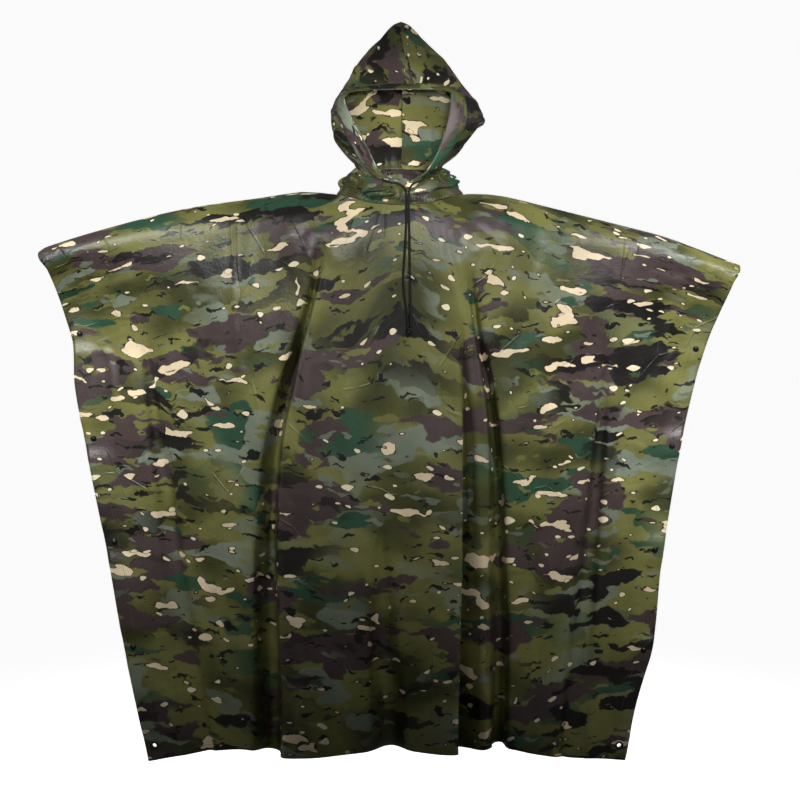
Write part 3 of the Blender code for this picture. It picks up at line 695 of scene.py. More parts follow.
@dataclass(frozen=True)
class CamouflageCloth:
    """Coated woven polyester with a generic camouflage print."""

    name: str = "camouflage_cloth"
    ground: Colour = (0.146, 0.146, 0.044)
    ragged: float = 0.032
    blotches: tuple[Blotch, ...] = (
        Blotch((0.042, 0.045, 0.013), (0.200, 0.130), 0.53, 1.3, 1.0, 0.110),
        Blotch((0.150, 0.176, 0.128), (0.215, 0.090), 0.560, 3.1, 2.0, 0.010, fade=0.20),
        Blotch((0.022, 0.062, 0.034), (0.190, 0.074), 0.575, 7.7, 2.0, 0.008, fade=0.24),
        Blotch((0.056, 0.039, 0.038), (0.235, 0.084), 0.560, 12.3, 3.0, 0.008, 1.2),
        Blotch((0.130, 0.152, 0.110), (0.080, 0.030), 0.655, 10.4, 2.0, 0.010, fade=0.13),
        Blotch((0.130, 0.132, 0.038), (0.090, 0.034), 0.640, 24.2, 2.0, 0.008),
        Blotch((0.010, 0.009, 0.008), (0.160, 0.052), 0.556, 18.9, 3.0, 0.010, 1.3, fade=0.30),
        Blotch((0.008, 0.009, 0.007), (0.050, 0.016), 0.640, 27.5, 2.0, 0.006, 1.5, 0.14, 0.18),
        Blotch((0.660, 0.540, 0.360), (0.082, 0.031), 0.668, 31.6, 1.6, 0.005, 0.8, 0.24, 0.24,
               rim=(0.022, 0.017, 0.012)),
        Blotch((0.690, 0.600, 0.410), (0.028, 0.017), 0.775, 37.9, 0.0, 0.008, 0.2, 0.22, 0.20,
               rim=(0.022, 0.017, 0.012), rim_width=0.020),
    )
    roughness: float = 0.40
    packing_lines: tuple[float, ...] = (-0.525, -0.335, -0.155, 0.048, 0.262, 0.512)
    line_width: float = 2.2 * MM            # of the straight creases left from packing
    weave: float = 0.55 * MM                # from one thread to the next but one
    weave_height: float = 0.012 * MM
    crinkle_height: float = 1.6 * MM
    packing_height: float = 0.9 * MM

    def packing(self, graph: Graph, cut: Value, u: Value) -> Value:
        """Height of the thin creases left from storage: long straight ones and short odd ones."""
        bend = (graph.noise(cut, 5.0, 1.0) - 0.5) * 0.012
        worn = graph.noise(graph.moved(cut, (8.0, 2.0, 0.0)), 8.0, 1.0).between(0.50, 0.60)
        lines = sum((u + bend - place).size().between(self.line_width, 0.0) * worn
                    for place in self.packing_lines)
        web = graph.value("ShaderNodeTexVoronoi", {"feature": "DISTANCE_TO_EDGE"},
                          {"Vector": graph.moved(cut, (3.0, 7.0, 0.0), (1.0, 0.72, 1.0), 0.35),
                           "Scale": 8.5, "Randomness": 1.0}, "Distance")
        kept = graph.noise(graph.moved(cut, (1.0, 9.0, 4.0)), 11.0, 1.0)
        return lines + web.between(0.015, 0.0) * kept.between(0.53, 0.62)

    def printed(self, graph: Graph, cut: Value) -> Value:
        """The print's colour, each layer of blotches laid over the ones before."""
        wander = graph.noise(cut, 19.0, 3.0, 0.62, "Color")
        drift = graph.vector("SCALE", graph.vector("SUBTRACT", wander, (0.5, 0.5, 0.5)),
                             self.ragged)
        colour: Value | Colour = self.ground
        for blotch in self.blotches:
            place = graph.vector("ADD", cut, graph.vector("SCALE", drift, blotch.drift))
            across, down = blotch.spacing
            shift = blotch.offset
            spot = graph.moved(place, (shift, shift * 1.7, 0.0), (1 / across, 1 / down, 1.0))
            shape = graph.noise(spot, 1.0, blotch.detail, 0.52)
            if blotch.cluster:
                grove = graph.noise(graph.moved(cut, (shift * 0.7, shift, 3.0)),
                                    1.0 / blotch.grove, 1.0)
                shape = shape + (grove - 0.5) * blotch.cluster
            cover: Value | float = 1.0
            if blotch.fade:
                cover = graph.noise(graph.moved(cut, (shift, 5.0, 1.0)), 1.0 / blotch.fade, 1.0)
                cover = cover.between(0.36, 0.58)
            edge, soft = blotch.edge, blotch.softness
            if blotch.rim is not None:
                outline = edge - blotch.rim_width
                colour = graph.blend(colour, blotch.rim, shape.between(outline - soft, outline))
            colour = graph.blend(colour, blotch.colour,
                                 shape.between(edge - soft, edge + soft) * cover)
        return colour

    def build(self) -> Material:
        """The material, patterned on the cut map."""
        graph = Graph(self.name)
        cut = graph.cut()
        smear = graph.noise(cut, 9.0, 3.0, 0.6)
        shade = graph.blend((0.80, 0.80, 0.80), (1.12, 1.12, 1.12), smear.between(0.3, 0.7))
        colour = graph.value("ShaderNodeMix", {"data_type": "RGBA", "blend_type": "MULTIPLY"},
                             {0: 1.0, 6: self.printed(graph, cut), 7: shade}, 2)
        crinkle = graph.noise(cut, 55.0, 4.0, 0.62) * 0.6 + graph.noise(cut, 190.0, 3.0, 0.6) * 0.25
        u, v, _ = graph.parts(cut)
        pitch = math.tau / self.weave
        normal = graph.bump((u * pitch).sine() * (v * pitch).sine(), self.weave_height)
        normal = graph.bump(crinkle, self.crinkle_height, normal)
        normal = graph.bump(self.packing(graph, cut, u), self.packing_height, normal)
        rough = graph.noise(cut, 22.0, 3.0, 0.55)
        graph.fill(graph.shader, {"Base Color": colour, "Normal": normal,
                                  "Roughness": self.roughness + (rough - 0.5) * 0.16,
                                  "Specular IOR Level": 0.30})
        return graph.material


@dataclass(frozen=True)
class BraidedCord:
    """Matte black braid whose strands cross on the cut map, with painted shade in the grooves
    between them.
    """

    name: str = "black_cord"
    # dark: the darker fibres, and the painted shade in the grooves between strands; light: the
    # strand crests.
    dark: Colour = (0.004, 0.004, 0.004)
    light: Colour = (0.018, 0.018, 0.019)
    strands: int = 6
    lay: float = 7.0 * MM

    def build(self) -> Material:
        """The material."""
        graph = Graph(self.name)
        turn, run, _ = graph.parts(graph.cut())
        round_cord = turn * (math.tau * self.strands)
        along = run * (math.tau / self.lay * self.strands / 2)
        strand_relief_and_groove_shade = ((round_cord + along).sine() * (round_cord - along).sine()).between(-0.6, 0.8)
        fuzz = graph.noise(graph.around(), 900.0, 2.0, 0.6)
        # Painted shade: the colour darkens in the grooves between strands, where the strand relief
        # is low, mixed with random fibre tone.
        colour = graph.blend(self.dark, self.light, strand_relief_and_groove_shade * 0.7 + fuzz * 0.3)
        normal = graph.bump(strand_relief_and_groove_shade + fuzz * 0.4, 0.25 * MM)
        graph.fill(graph.shader, {"Base Color": colour, "Roughness": 0.62 + fuzz * 0.25,
                                  "Normal": normal, "Specular IOR Level": 0.22})
        return graph.material


@dataclass(frozen=True)
class PaintedMetal:
    """Black lacquered metal, worn a little where it is rubbed."""

    name: str
    colour: Colour
    worn: Colour = (0.16, 0.155, 0.145)
    roughness: float = 0.30
    wear: float = 0.10

    def build(self) -> Material:
        """The material."""
        graph = Graph(self.name)
        place = graph.around()
        rub = graph.noise(place, 420.0, 4.0, 0.65)
        speck = rub.between(0.66 - self.wear * 0.5, 0.76 - self.wear * 0.5)
        grain = graph.noise(place, 1500.0, 2.0, 0.5)
        graph.fill(graph.shader, {
            "Base Color": graph.blend(self.colour, self.worn, speck * 0.7),
            "Metallic": 0.45 + speck * 0.5,
            "Roughness": self.roughness + (grain - 0.5) * 0.25,
            "Normal": graph.bump(grain, 0.05 * MM),
        })
        return graph.material


@dataclass(frozen=True)
class Thread:
    """Twisted sewing thread."""

    name: str = "olive_thread"
    dark: Colour = (0.030, 0.034, 0.018)
    light: Colour = (0.085, 0.092, 0.052)

    def build(self) -> Material:
        """The material."""
        graph = Graph(self.name)
        fibre = graph.noise(graph.around(), 1300.0, 3.0, 0.6)
        graph.fill(graph.shader, {"Base Color": graph.blend(self.dark, self.light, fibre),
                                  "Roughness": 0.55 + fibre * 0.2,
                                  "Normal": graph.bump(fibre, 0.12 * MM)})
        return graph.material


@dataclass(frozen=True)
class Pale:
    """Matt pale paint of the floor and backdrop."""

    name: str = "pale_backdrop"
    colour: Colour = (0.86, 0.86, 0.86)
    glow: float = 0.90

    def build(self) -> Material:
        """The material."""
        graph = Graph(self.name)
        graph.fill(graph.shader, {"Base Color": self.colour, "Roughness": 0.9,
                                  "Emission Color": (1.0, 1.0, 1.0),
                                  "Emission Strength": self.glow})
        return graph.material


# Body -------------------------------------------------------------------------------------
class Half(NamedTuple):
    """How one half of the body stands out from the middle plane."""

    neck_depth: float
    neck_height: float
    chest_depth: float
    hip_depth: float
    chest_drop: float


class Fold(NamedTuple):
    """A main fold: its X at the hem, waist, chest and top, and how it opens on its way down."""

    hem: float
    waist: float
    chest: float
    top: float
    half_width: float
    inward: float
    lean: float
    starts: float


Line = Callable[[Array], Array]


@dataclass(frozen=True)
class BodyShape:
    """The sizes and tables that both halves of the body hang from."""

    cut_width: float = 1.430
    drop: float = 1.110
    hem_level: float = -1.090
    wall: float = 2.0 * MM
    neck_x: float = -0.004
    neck_half_width: float = 0.126
    neck_side_height: float = 0.020
    edge_strip: float = 0.036       # flat strip along a side edge
    edge_gap: float = 1.3 * MM      # from the middle plane to the cloth at a snap
    edge_gape: float = 1.0 * MM     # how much wider it stands between two snaps
    corner_gape: float = 3.0 * MM   # and at the free hem corner
    gape_start: float = 0.048
    sway_reach: float = 6.0 * MM    # how far both edges lean together between two snaps
    sway_start: float = 0.012       # distance from a snap where the sway sets in
    sway_rise: float = 0.030
    sway_width: float = 0.100       # strip beside the edge that sways
    arm_opening: float = 0.148      # drop over which the sleeve closes to its edge
    arm_radius: float = 0.045
    arm_drop: float = 0.050         # drop over which the cloth rounds over the arm
    torso_half_width: float = 0.240
    clear_of_middle: float = 14.0 * MM
    fullest_fold: float = 1.6       # most that a row may deepen its folds to use up its cloth
    fold_at_start: float = 0.28     # share of a fold's width where it starts
    fold_opening: float = 0.6       # how fast it widens from there: faster below 1
    hem_roundness: float = 1.3
    hang_drop: float = 0.420        # drop where the cloth has left the chest and hangs free
    neck_settle: float = 0.150      # drop where columns from the neckline have spread out
    edge_settle: float = 0.045
    halves: dict[Facing, Half] = preset({
        Facing.FRONT: Half(0.118, -0.012, 0.150, 0.152, 0.160),
        Facing.BACK: Half(0.100, 0.032, 0.132, 0.140, 0.130),
    })
    # Height, X of the left edge, X of the right edge.
    side_edges: tuple[Point, ...] = (
        (-1.110, -0.506, 0.446), (-1.000, -0.530, 0.468), (-0.880, -0.556, 0.502),
        (-0.720, -0.584, 0.519), (-0.480, -0.632, 0.558), (-0.360, -0.653, 0.585),
        (-0.280, -0.657, 0.608), (-0.220, -0.674, 0.632), (-0.160, -0.692, 0.656),
        (-0.120, -0.708, 0.668), (-0.090, -0.724, 0.673),
    )
    # X and height.
    shoulder_line: tuple[tuple[float, float], ...] = (
        (-0.724, -0.093), (-0.710, -0.084), (-0.594, -0.048), (-0.434, -0.008), (-0.274, 0.015),
        (-0.194, 0.026), (-0.130, 0.021), (0.122, 0.021), (0.166, 0.021), (0.206, 0.016),
        (0.286, -0.003), (0.446, -0.043), (0.526, -0.064), (0.606, -0.094), (0.673, -0.120),
    )
    hem: tuple[tuple[float, float], ...] = (
        (-0.506, -1.110), (-0.430, -1.097), (-0.350, -1.080), (-0.300, -1.076), (-0.250, -1.085),
        (-0.190, -1.084), (-0.020, -1.063), (0.104, -1.076), (0.190, -1.068), (0.260, -1.086),
        (0.330, -1.101), (0.390, -1.105), (0.446, -1.110),
    )
    fold_heights: tuple[float, ...] = (-1.090, -0.500, -0.140, 0.020)
    folds: dict[Facing, tuple[Fold, ...]] = preset({
        Facing.FRONT: (
            Fold(-0.400, -0.480, -0.520, -0.530, 0.0400, 0.034, 0.000, -0.20),
            Fold(-0.261, -0.253, -0.161, -0.150, 0.0350, 0.082, 0.010, -0.02),
            Fold(-0.023, -0.045, -0.040, -0.030, 0.0500, 0.045, 0.000, -0.62),
            Fold(0.132, 0.132, 0.104, 0.085, 0.0265, 0.075, -0.042, -0.22),
            Fold(0.188, 0.182, 0.130, 0.135, 0.0265, 0.062, 0.004, -0.06),
            Fold(0.335, 0.390, 0.420, 0.430, 0.0350, 0.040, 0.000, -0.25),
        ),
        Facing.BACK: (
            Fold(-0.350, -0.420, -0.450, -0.460, 0.0400, 0.050, 0.000, -0.12),
            Fold(-0.200, -0.220, -0.180, -0.165, 0.0330, 0.080, 0.012, -0.04),
            Fold(-0.050, -0.040, -0.040, -0.030, 0.0400, 0.072, 0.000, -0.40),
            Fold(0.090, 0.110, 0.080, 0.070, 0.0330, 0.078, -0.012, -0.16),
            Fold(0.215, 0.240, 0.190, 0.170, 0.0350, 0.070, 0.000, -0.06),
            Fold(0.350, 0.400, 0.430, 0.440, 0.0350, 0.045, 0.000, -0.25),
        ),
    })
    neck_lines: dict[Facing, tuple[tuple[float, ...], ...]] = preset({
        Facing.FRONT: ((-0.165, -0.180, -0.125, -0.130), (0.160, 0.157, 0.117, 0.122)),
        Facing.BACK: ((-0.130, -0.130, -0.128, -0.130), (0.150, 0.170, 0.124, 0.122)),
    })
    snap_heights: dict[Side, tuple[float, ...]] = preset({
        Side.LEFT: (-0.258, -0.467, -0.674, -0.884),
        Side.RIGHT: (-0.288, -0.482, -0.690, -0.890),
    })
    fastener_inset: float = 0.018
    eyelet_height: float = -1.080
    eyelet_hole: float = 6.3 * MM

    def fastener_x(self, side: Side, height: float) -> float:
        """X of a snap or eyelet on a side edge."""
        return float(self.edge_x(side, height)) - side.value * self.fastener_inset

    def edge_x(self, side: Side, height: Any) -> Array:
        """X of a side edge at heights."""
        heights, left, right = zip(*self.side_edges)
        return smooth(heights, left if side is Side.LEFT else right, height)

    def gape(self, side: Side, height: Array) -> Array:
        """How far a side edge stands off between its snaps and at the hem corner."""
        snaps = self.snap_heights[side]
        most = np.where(height > snaps[-1], self.edge_gape, self.corner_gape)
        nearest = np.min([np.abs(height - snap) for snap in snaps], axis=0)
        open_here = most * ease((nearest - self.gape_start) / self.gape_start)
        return np.where(height > snaps[0], 0.0, open_here)

    def sway(self, x: Array, height: Array) -> Array:
        """How far both halves lean together along Y near a side edge, between its snaps."""
        total = np.zeros_like(x)
        for side in Side:
            stops = (*self.snap_heights[side], self.eyelet_height)
            nearest = np.min([np.abs(height - stop) for stop in stops], axis=0)
            free = ease((nearest - self.sway_start) / self.sway_rise) * (height < stops[0])
            inset = side.value * (self.edge_x(side, height) - x)
            near_edge = ease(1.0 - inset / self.sway_width)
            total = total + side.value * self.sway_reach * free * near_edge
        return total

    def over_torso(self, x: Array) -> Array:
        """1 over the middle of the shoulders, falling to 0 over the arms."""
        return 1.0 / (1.0 + ((x - self.neck_x) / self.torso_half_width) ** 4)

    def full_depth(self, facing: Facing, x: Array, height: Array, drop: Array) -> Array:
        """Distance of the outer face from the middle plane, before folds."""
        half = self.halves[facing]
        left, right = self.edge_x(Side.LEFT, height), self.edge_x(Side.RIGHT, height)
        inset = np.minimum(x - left, right - x)
        across = (inset - self.edge_strip) / ((right - left) / 2 - self.edge_strip)
        across = np.clip(across, 0.0, 1.0)
        gape = np.where(x - left < right - x,
                        self.gape(Side.LEFT, height), self.gape(Side.RIGHT, height))
        hanging = mix(self.edge_gap + self.wall + gape, half.hip_depth,
                      np.sin(math.pi / 2 * across) ** self.hem_roundness)
        carried = mix(self.arm_radius, half.chest_depth, self.over_torso(x))
        return mix(carried, hanging, ease(drop / mix(self.arm_opening, self.hang_drop, across)))

    def neck_point(self, facing: Facing, share: Array) -> tuple[Array, ...]:
        """Neckline from its left side, at 0, round the front or back to its right side, at 1."""
        half = self.halves[facing]
        sine, cosine = np.sin(math.pi * share), np.cos(math.pi * share)
        return (self.neck_x - self.neck_half_width * cosine, half.neck_depth * sine,
                mix(self.neck_side_height, half.neck_height, sine ** 2))


@dataclass
class BodyPanel:
    """The front or the back: one half of the wide body cloth."""

    shape: BodyShape
    facing: Facing
    creases: tuple[Crease, ...]
    crumples: tuple[Crumple, ...]
    seed: int
    columns: int = 232
    close_rows: int = 22
    close_drop: float = 0.050
    rows: int = 200
    thickness: float = 1.0 * MM
    hem: float = 0.013
    side_hem: float = 0.027
    hem_height: float = 0.7 * MM
    steps: int = 9              # steps from each line down the panel to the next
    close_growth: float = 1.7   # how fast the rows below the top edge draw apart
    halvings: int = 14          # of the range that a row's fullness is looked for in
    least_columns: int = 4      # between two lines that keep their column
    averaged: int = 14          # columns on each side over which the flat coordinates are evened
    level_drop: float = 0.22    # where the print has turned level
    easing_rounds: int = 60
    drape: Waves = Waves(2.6 * MM, 0.060, 0.34)
    ruffle: Waves = Waves(1.1 * MM, 0.030, 0.11)
    flutter: Waves = Waves(2.4 * MM, 0.045, 0.10)
    crumple_size: float = 0.034     # from one ridge of a crumple to the next
    crumple_base: float = 0.35      # the level taken off a crumple's ridges
    flat_strip: float = 0.030       # beside the side edges, where nothing is creased
    lines: list[Line] = field(default_factory=list)
    fixed: list[int] = field(default_factory=list)
    points: Array = blank(0, 0, 3)
    cut: Array = blank(0, 0, 2)
    fall: Array = blank(0, 0)   # height below the top edge
    normals: Array = blank(0, 0, 3)

    @property
    def name(self) -> str:
        """The node that the panel stands for."""
        return self.facing.name.lower()

    def fold_x(self, fold: Fold, height: Array) -> Array:
        """X of a fold's middle at heights."""
        return smooth(self.shape.fold_heights, (fold.hem, fold.waist, fold.chest, fold.top), height)

    def fold_growth(self, fold: Fold, height: Array) -> Array:
        """0 where a fold starts, 1 at the hem."""
        share = (fold.starts - height) / (fold.starts - self.shape.hem_level)
        return ease(share) ** self.shape.fold_opening

    def fold_half_width(self, fold: Fold, height: Array) -> Array:
        """Half width of a fold at heights."""
        return fold.half_width * mix(self.shape.fold_at_start, 1.0, self.fold_growth(fold, height))

    def lay_lines(self) -> None:
        """Finds the lines down the panel, left to right, and those that keep their column."""
        shape = self.shape

        def fold_line(fold: Fold, share: float) -> Line:
            return lambda height: (self.fold_x(fold, height)
                                   + share * self.fold_half_width(fold, height))

        def table_line(places: Sequence[float]) -> Line:
            return lambda height: smooth(shape.fold_heights, places, height)

        def edge_line(side: Side, inset: float) -> Line:
            return lambda height: shape.edge_x(side, height) + inset

        lines = [(fold_line(fold, share), False) for fold in shape.folds[self.facing]
                 for share in (-1.0, -0.5, 0.0, 0.5, 1.0)]
        lines += [(table_line(places), True) for places in shape.neck_lines[self.facing]]
        lines += [(edge_line(side, inset), True) for side in Side
                  for inset in (0.0, -side.value * shape.edge_strip)]
        lines.sort(key=lambda pair: float(pair[0](-0.30)))
        self.lines = [line for line, _ in lines]
        self.fixed = [number for number, (_, fixed) in enumerate(lines) if fixed]

    def across(self, heights: Array) -> Array:
        """X of every column at heights, in even steps from line to line."""
        x = np.empty_like(heights)
        shares = np.arange(self.steps) / self.steps
        for number, (before, after) in enumerate(zip(self.lines, self.lines[1:])):
            here = slice(number * self.steps, (number + 1) * self.steps)
            level = heights[..., here]
            x[..., here] = mix(before(level), after(level), shares)
        x[..., -1] = self.lines[-1](heights[..., -1])
        return x

    def top_edge(self) -> tuple[Array, Array, Array]:
        """Where each column starts: its X, its distance from the middle plane and its Z."""
        shape = self.shape
        columns = (len(self.lines) - 1) * self.steps + 1
        x = self.across(np.full(columns, shape.fold_heights[-1]))
        share = (x - shape.neck_x + shape.neck_half_width) / (2 * shape.neck_half_width)
        in_neck = (share >= 0) & (share <= 1)
        ring_x, ring_y, ring_z = shape.neck_point(self.facing, np.clip(share, 0, 1))
        return (np.where(in_neck, ring_x, x),
                np.where(in_neck, np.maximum(ring_y, SEAM / 2), SEAM / 2),
                np.where(in_neck, ring_z, smooth(*zip(*shape.shoulder_line), x)))

    def fold_shifts(self, line_x: Array, height: Array) -> tuple[Array, Array]:
        """How far the folds at full depth move each point inward and sideways."""
        pull, slide = np.zeros_like(line_x), np.zeros_like(line_x)
        for fold in self.shape.folds[self.facing]:
            offset = (line_x - self.fold_x(fold, height)) / self.fold_half_width(fold, height)
            bump = np.where(np.abs(offset) < 1, np.cos(math.pi / 2 * offset) ** 2, 0.0)
            bump = bump * self.fold_growth(fold, height)
            pull += bump * fold.inward
            slide += bump * fold.lean
        return pull, slide

    def cloth_used_up(self, rows_at: Callable[[Array], Array], rows: int) -> Array:
        """The rows with folds just deep enough to take up the whole width of the cloth."""
        low, high = np.zeros((rows, 1)), np.full((rows, 1), self.shape.fullest_fold)
        for _ in range(self.halvings):
            fullness = (low + high) / 2
            run = np.linalg.norm(np.diff(rows_at(fullness), axis=1), axis=2)
            short = run.sum(axis=1, keepdims=True) < self.shape.cut_width
            low, high = np.where(short, fullness, low), np.where(short, high, fullness)
        return rows_at((low + high) / 2)

    def in_columns(self, dense: Array) -> Array:
        """The rows with evenly spaced points between the lines that keep their column."""
        marks = [number * self.steps for number in self.fixed]
        pairs = list(zip(marks, marks[1:]))
        spans = [np.linalg.norm(np.diff(dense[:, a:b + 1], axis=1), axis=2).sum(axis=1).mean()
                 for a, b in pairs]
        counts = [max(self.least_columns, round(self.columns * span / sum(spans)))
                  for span in spans]
        rows = []
        for line in dense:
            pieces = [resampled(line[a:b + 1], count + 1)[:-1]
                      for (a, b), count in zip(pairs, counts)]
            rows.append(np.concatenate(pieces + [line[-1:]]))
        return np.array(rows)

    def surface(self) -> None:
        """Works out the panel's points, its flat coordinates and its normals."""
        shape, facing = self.shape, self.facing
        self.lay_lines()
        close = np.arange(self.close_rows) / self.close_rows
        close = self.close_drop * close ** self.close_growth
        rest = np.linspace(self.close_drop, shape.drop, self.rows - self.close_rows)
        drops = np.concatenate([close, rest])[:, None]

        top_x, top_y, top_z = self.top_edge()
        hem_z = smooth(*zip(*shape.hem), self.across(np.full(top_x.shape, shape.hem_level)))
        height = mix(top_z, hem_z, drops / shape.drop)
        outward = np.abs(top_x - shape.neck_x) / np.abs(shape.edge_x(Side.RIGHT, top_z))
        settle = mix(shape.neck_settle, shape.edge_settle, np.clip(outward, 0, 1))
        line_x = self.across(height)
        x = mix(top_x, line_x, ease(drops / settle))
        depth = shape.full_depth(facing, x, height, drops)
        pull, slide = self.fold_shifts(line_x, height)
        limit = np.maximum(depth - shape.clear_of_middle - shape.wall, 0.1 * MM)
        carry = mix(shape.arm_drop, shape.halves[facing].chest_drop, shape.over_torso(x))
        start = 1.0 - np.clip(drops / carry, 0, 1)
        rounding = np.sqrt(1.0 - start * start)

        def rows_at(fullness: Array) -> Array:
            inward = pull * fullness
            inward = inward / (1.0 + (inward / limit) ** 4) ** 0.25
            y = mix(top_y, depth - inward, rounding)
            return np.stack([x + slide * np.minimum(fullness, 1.0), facing.value * y,
                             np.broadcast_to(height, x.shape)], axis=2)

        rows = self.in_columns(self.cloth_used_up(rows_at, len(drops)))
        self.points = self.eased(rows, drops)
        run = np.linalg.norm(np.diff(self.points, axis=1), axis=2)
        u = np.concatenate([np.zeros((len(rows), 1)), np.cumsum(run, axis=1)], axis=1)
        u = (u / u[:, -1:] - 0.5) * shape.cut_width
        self.cut = np.stack([u, facing.value * self.laid_down(drops)], axis=2)
        self.fall = np.broadcast_to(drops, u.shape)
        self.normals = faced(surface_normals(self.points), 1, facing.value)

    def laid_down(self, drops: Array) -> Array:
        """Each point's place down the flat cloth: true over the shoulders, level lower down."""
        step = np.diff(self.points, axis=0)
        way = np.gradient(self.points, axis=1)[1:]
        way /= np.linalg.norm(way, axis=2, keepdims=True)
        down = np.linalg.norm(step - np.sum(step * way, axis=2, keepdims=True) * way, axis=2)
        run = np.concatenate([np.zeros((1, down.shape[1])), np.cumsum(down, axis=0)])
        extra = run + np.abs(self.points[:1, :, 1]) - drops
        padded = np.pad(extra, ((0, 0), (self.averaged, self.averaged)), mode="edge")
        extra = np.mean([padded[:, first:first + run.shape[1]]
                         for first in range(2 * self.averaged + 1)], axis=0)
        level = mix(drops, self.shape.neck_side_height - self.points[..., 2],
                    ease(drops / self.level_drop))
        return level + extra * (1.0 - ease((drops - 0.10) / 0.50))

    def eased(self, points: Array, drops: Array) -> Array:
        """The points with the sharp bends below both ends of the neckline rounded off."""
        shape = self.shape
        from_neck = points[..., 0] - shape.neck_x
        weight = sum(bell((from_neck - side.value * shape.neck_half_width) / 0.034)
                     for side in Side)
        below = ease((drops - 1 * MM) / (7 * MM)) * (1 - ease(drops / 0.20))
        weight = (0.5 * np.clip(weight, 0, 1) * below)[1:-1, 1:-1, None]
        for _ in range(self.easing_rounds):
            around = (points[:-2, 1:-1] + points[2:, 1:-1]
                      + points[1:-1, :-2] + points[1:-1, 2:]) / 4
            points[1:-1, 1:-1] = mix(points[1:-1, 1:-1], around, weight)
        return points

    def relieve(self) -> None:
        """Moves the points along their normals into creases, drape and hems."""
        shape, facing = self.shape, self.facing.value
        drape, ruffle, flutter = self.drape, self.ruffle, self.flutter
        x, z = self.points[..., 0], self.points[..., 2]
        u, drop = self.cut[..., 0], self.fall
        inset = shape.cut_width / 2 - np.abs(u) - self.flat_strip
        above_hem = shape.drop - drop
        ripples, fine = Ripples(self.seed), Ripples(self.seed + 1)
        lift = crease_field([in_metres(crease) for crease in self.creases], x, z)
        bend = 0.4 * ripples(u / 0.15, drop / 0.20)
        lift += (drape.height * ripples(u / drape.across + bend, drop / drape.down)
                 * ease(drop / 0.35))
        lift += (ruffle.height * fine(u / ruffle.across, drop / ruffle.down)
                 * ease(drop / 0.10))
        for crumple in self.crumples:
            middle_x, middle_z, half_width, half_height, height = (size * MM for size in crumple)
            here = bell(np.hypot((x - middle_x) / half_width, (z - middle_z) / half_height))
            bend = 1.5 * ripples(x / 0.05 + 9.0, z / 0.05)
            ridges = fine.ridges(x / self.crumple_size + bend, z / self.crumple_size - bend)
            lift += height * here * (ridges - self.crumple_base)
        lift *= ease(inset / 0.050) * ease((drop - 4 * MM) / 0.050)
        lift += (self.hem_height * ease((self.hem - above_hem) / (2 * MM))
                 * ease(inset / 0.010))
        lift += (flutter.height * ripples(u / flutter.across, np.full_like(drop, 3.3))
                 * ease((flutter.down - above_hem) / flutter.down)
                 * ease((inset - 0.010) / 0.060))
        least = np.minimum(facing * self.points[..., 1], shape.edge_gap + shape.wall)
        self.points = self.points + self.normals * lift[..., None]
        outer = np.maximum(facing * self.points[..., 1], least)
        self.points[..., 1] = facing * outer + shape.sway(x, z)
        self.normals = faced(surface_normals(self.points), 1, facing)

    def sewing(self) -> list[tuple[Array, Array]]:
        """The stitch lines of the hem and of the two side hems."""
        u, drop = self.cut[..., 0], self.fall
        runs = []
        level = self.shape.drop - self.hem + 1.5 * MM
        row = int(np.searchsorted(drop[:, 0], level))
        share = (level - drop[row - 1, 0]) / (drop[row, 0] - drop[row - 1, 0])
        line = mix(self.points[row - 1], self.points[row], share)
        runs.append((line[3:-3], self.normals[row, 3:-3]))
        for sign in (-1, 1):
            place = sign * (self.shape.cut_width / 2 - self.side_hem)
            points, normals = (np.array([[np.interp(place, across, column) for column in row.T]
                                         for across, row in zip(u, rows)])
                               for rows in (self.points, self.normals))
            runs.append((points[6:-2], normals[6:-2]))
        return runs

    def build(self, cloth: Material, thread: Material) -> list[Object]:
        """Makes the panel and its sewing.

        Args:
            cloth: The cloth's material.
            thread: The thread's material.

        Returns:
            The panel and its stitches.
        """
        self.surface()
        self.relieve()
        shape = self.shape
        level = shape.eyelet_height
        holes = [(shape.fastener_x(side, level), level, shape.eyelet_hole) for side in Side]
        panel = cloth_object(f"{self.name}_cloth", self.points, self.cut, self.normals, cloth,
                             self.thickness, holes=holes)
        sewing = stitches(f"{self.name}_sewing", self.sewing(), thread)
        join_body((panel, sewing))
        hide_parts(self.name)
        return [panel, sewing]


# Neck and hood ----------------------------------------------------------------------------
@dataclass
class NeckShape:
    """The gathered band's two edges: the neckline below and the throat line above."""

    body: BodyShape
    throat_x: float = -0.006
    throat_half_width: float = 0.086
    throat_depths: dict[Facing, float] = preset({Facing.FRONT: 0.098, Facing.BACK: 0.088})
    throat_side_height: float = 0.074
    throat_heights: dict[Facing, float] = preset({Facing.FRONT: 0.034, Facing.BACK: 0.084})
    seam: float = 0.9 * MM
    puff: float = 11.0 * MM
    puff_roundness: float = 0.8
    cleft_x: float = 0.012
    cleft_width: float = 0.022
    cleft_depth: float = 0.85

    def halves(self, turn: Array, table: dict[Facing, float]) -> Array:
        """The front's or the back's number, by the turn from the left side round the front."""
        return np.where(turn % 1.0 <= 0.5, table[Facing.FRONT], table[Facing.BACK])

    def angle(self, turn: Array) -> Array:
        """The angle from the left side, 0 to half a turn on both halves."""
        turn = turn % 1.0
        return math.tau * np.where(turn <= 0.5, turn, 1.0 - turn)

    def throat(self, turn: Array) -> Array:
        """The narrow line where the hood's lower edge is sewn on."""
        angle, facing = self.angle(turn), self.halves(turn, {Facing.FRONT: -1.0, Facing.BACK: 1.0})
        sine = np.sin(angle)
        level = self.halves(turn, self.throat_heights)
        return np.stack([self.throat_x - self.throat_half_width * np.cos(angle),
                         facing * self.halves(turn, self.throat_depths) * sine,
                         mix(self.throat_side_height, level, sine ** 2)], axis=-1)


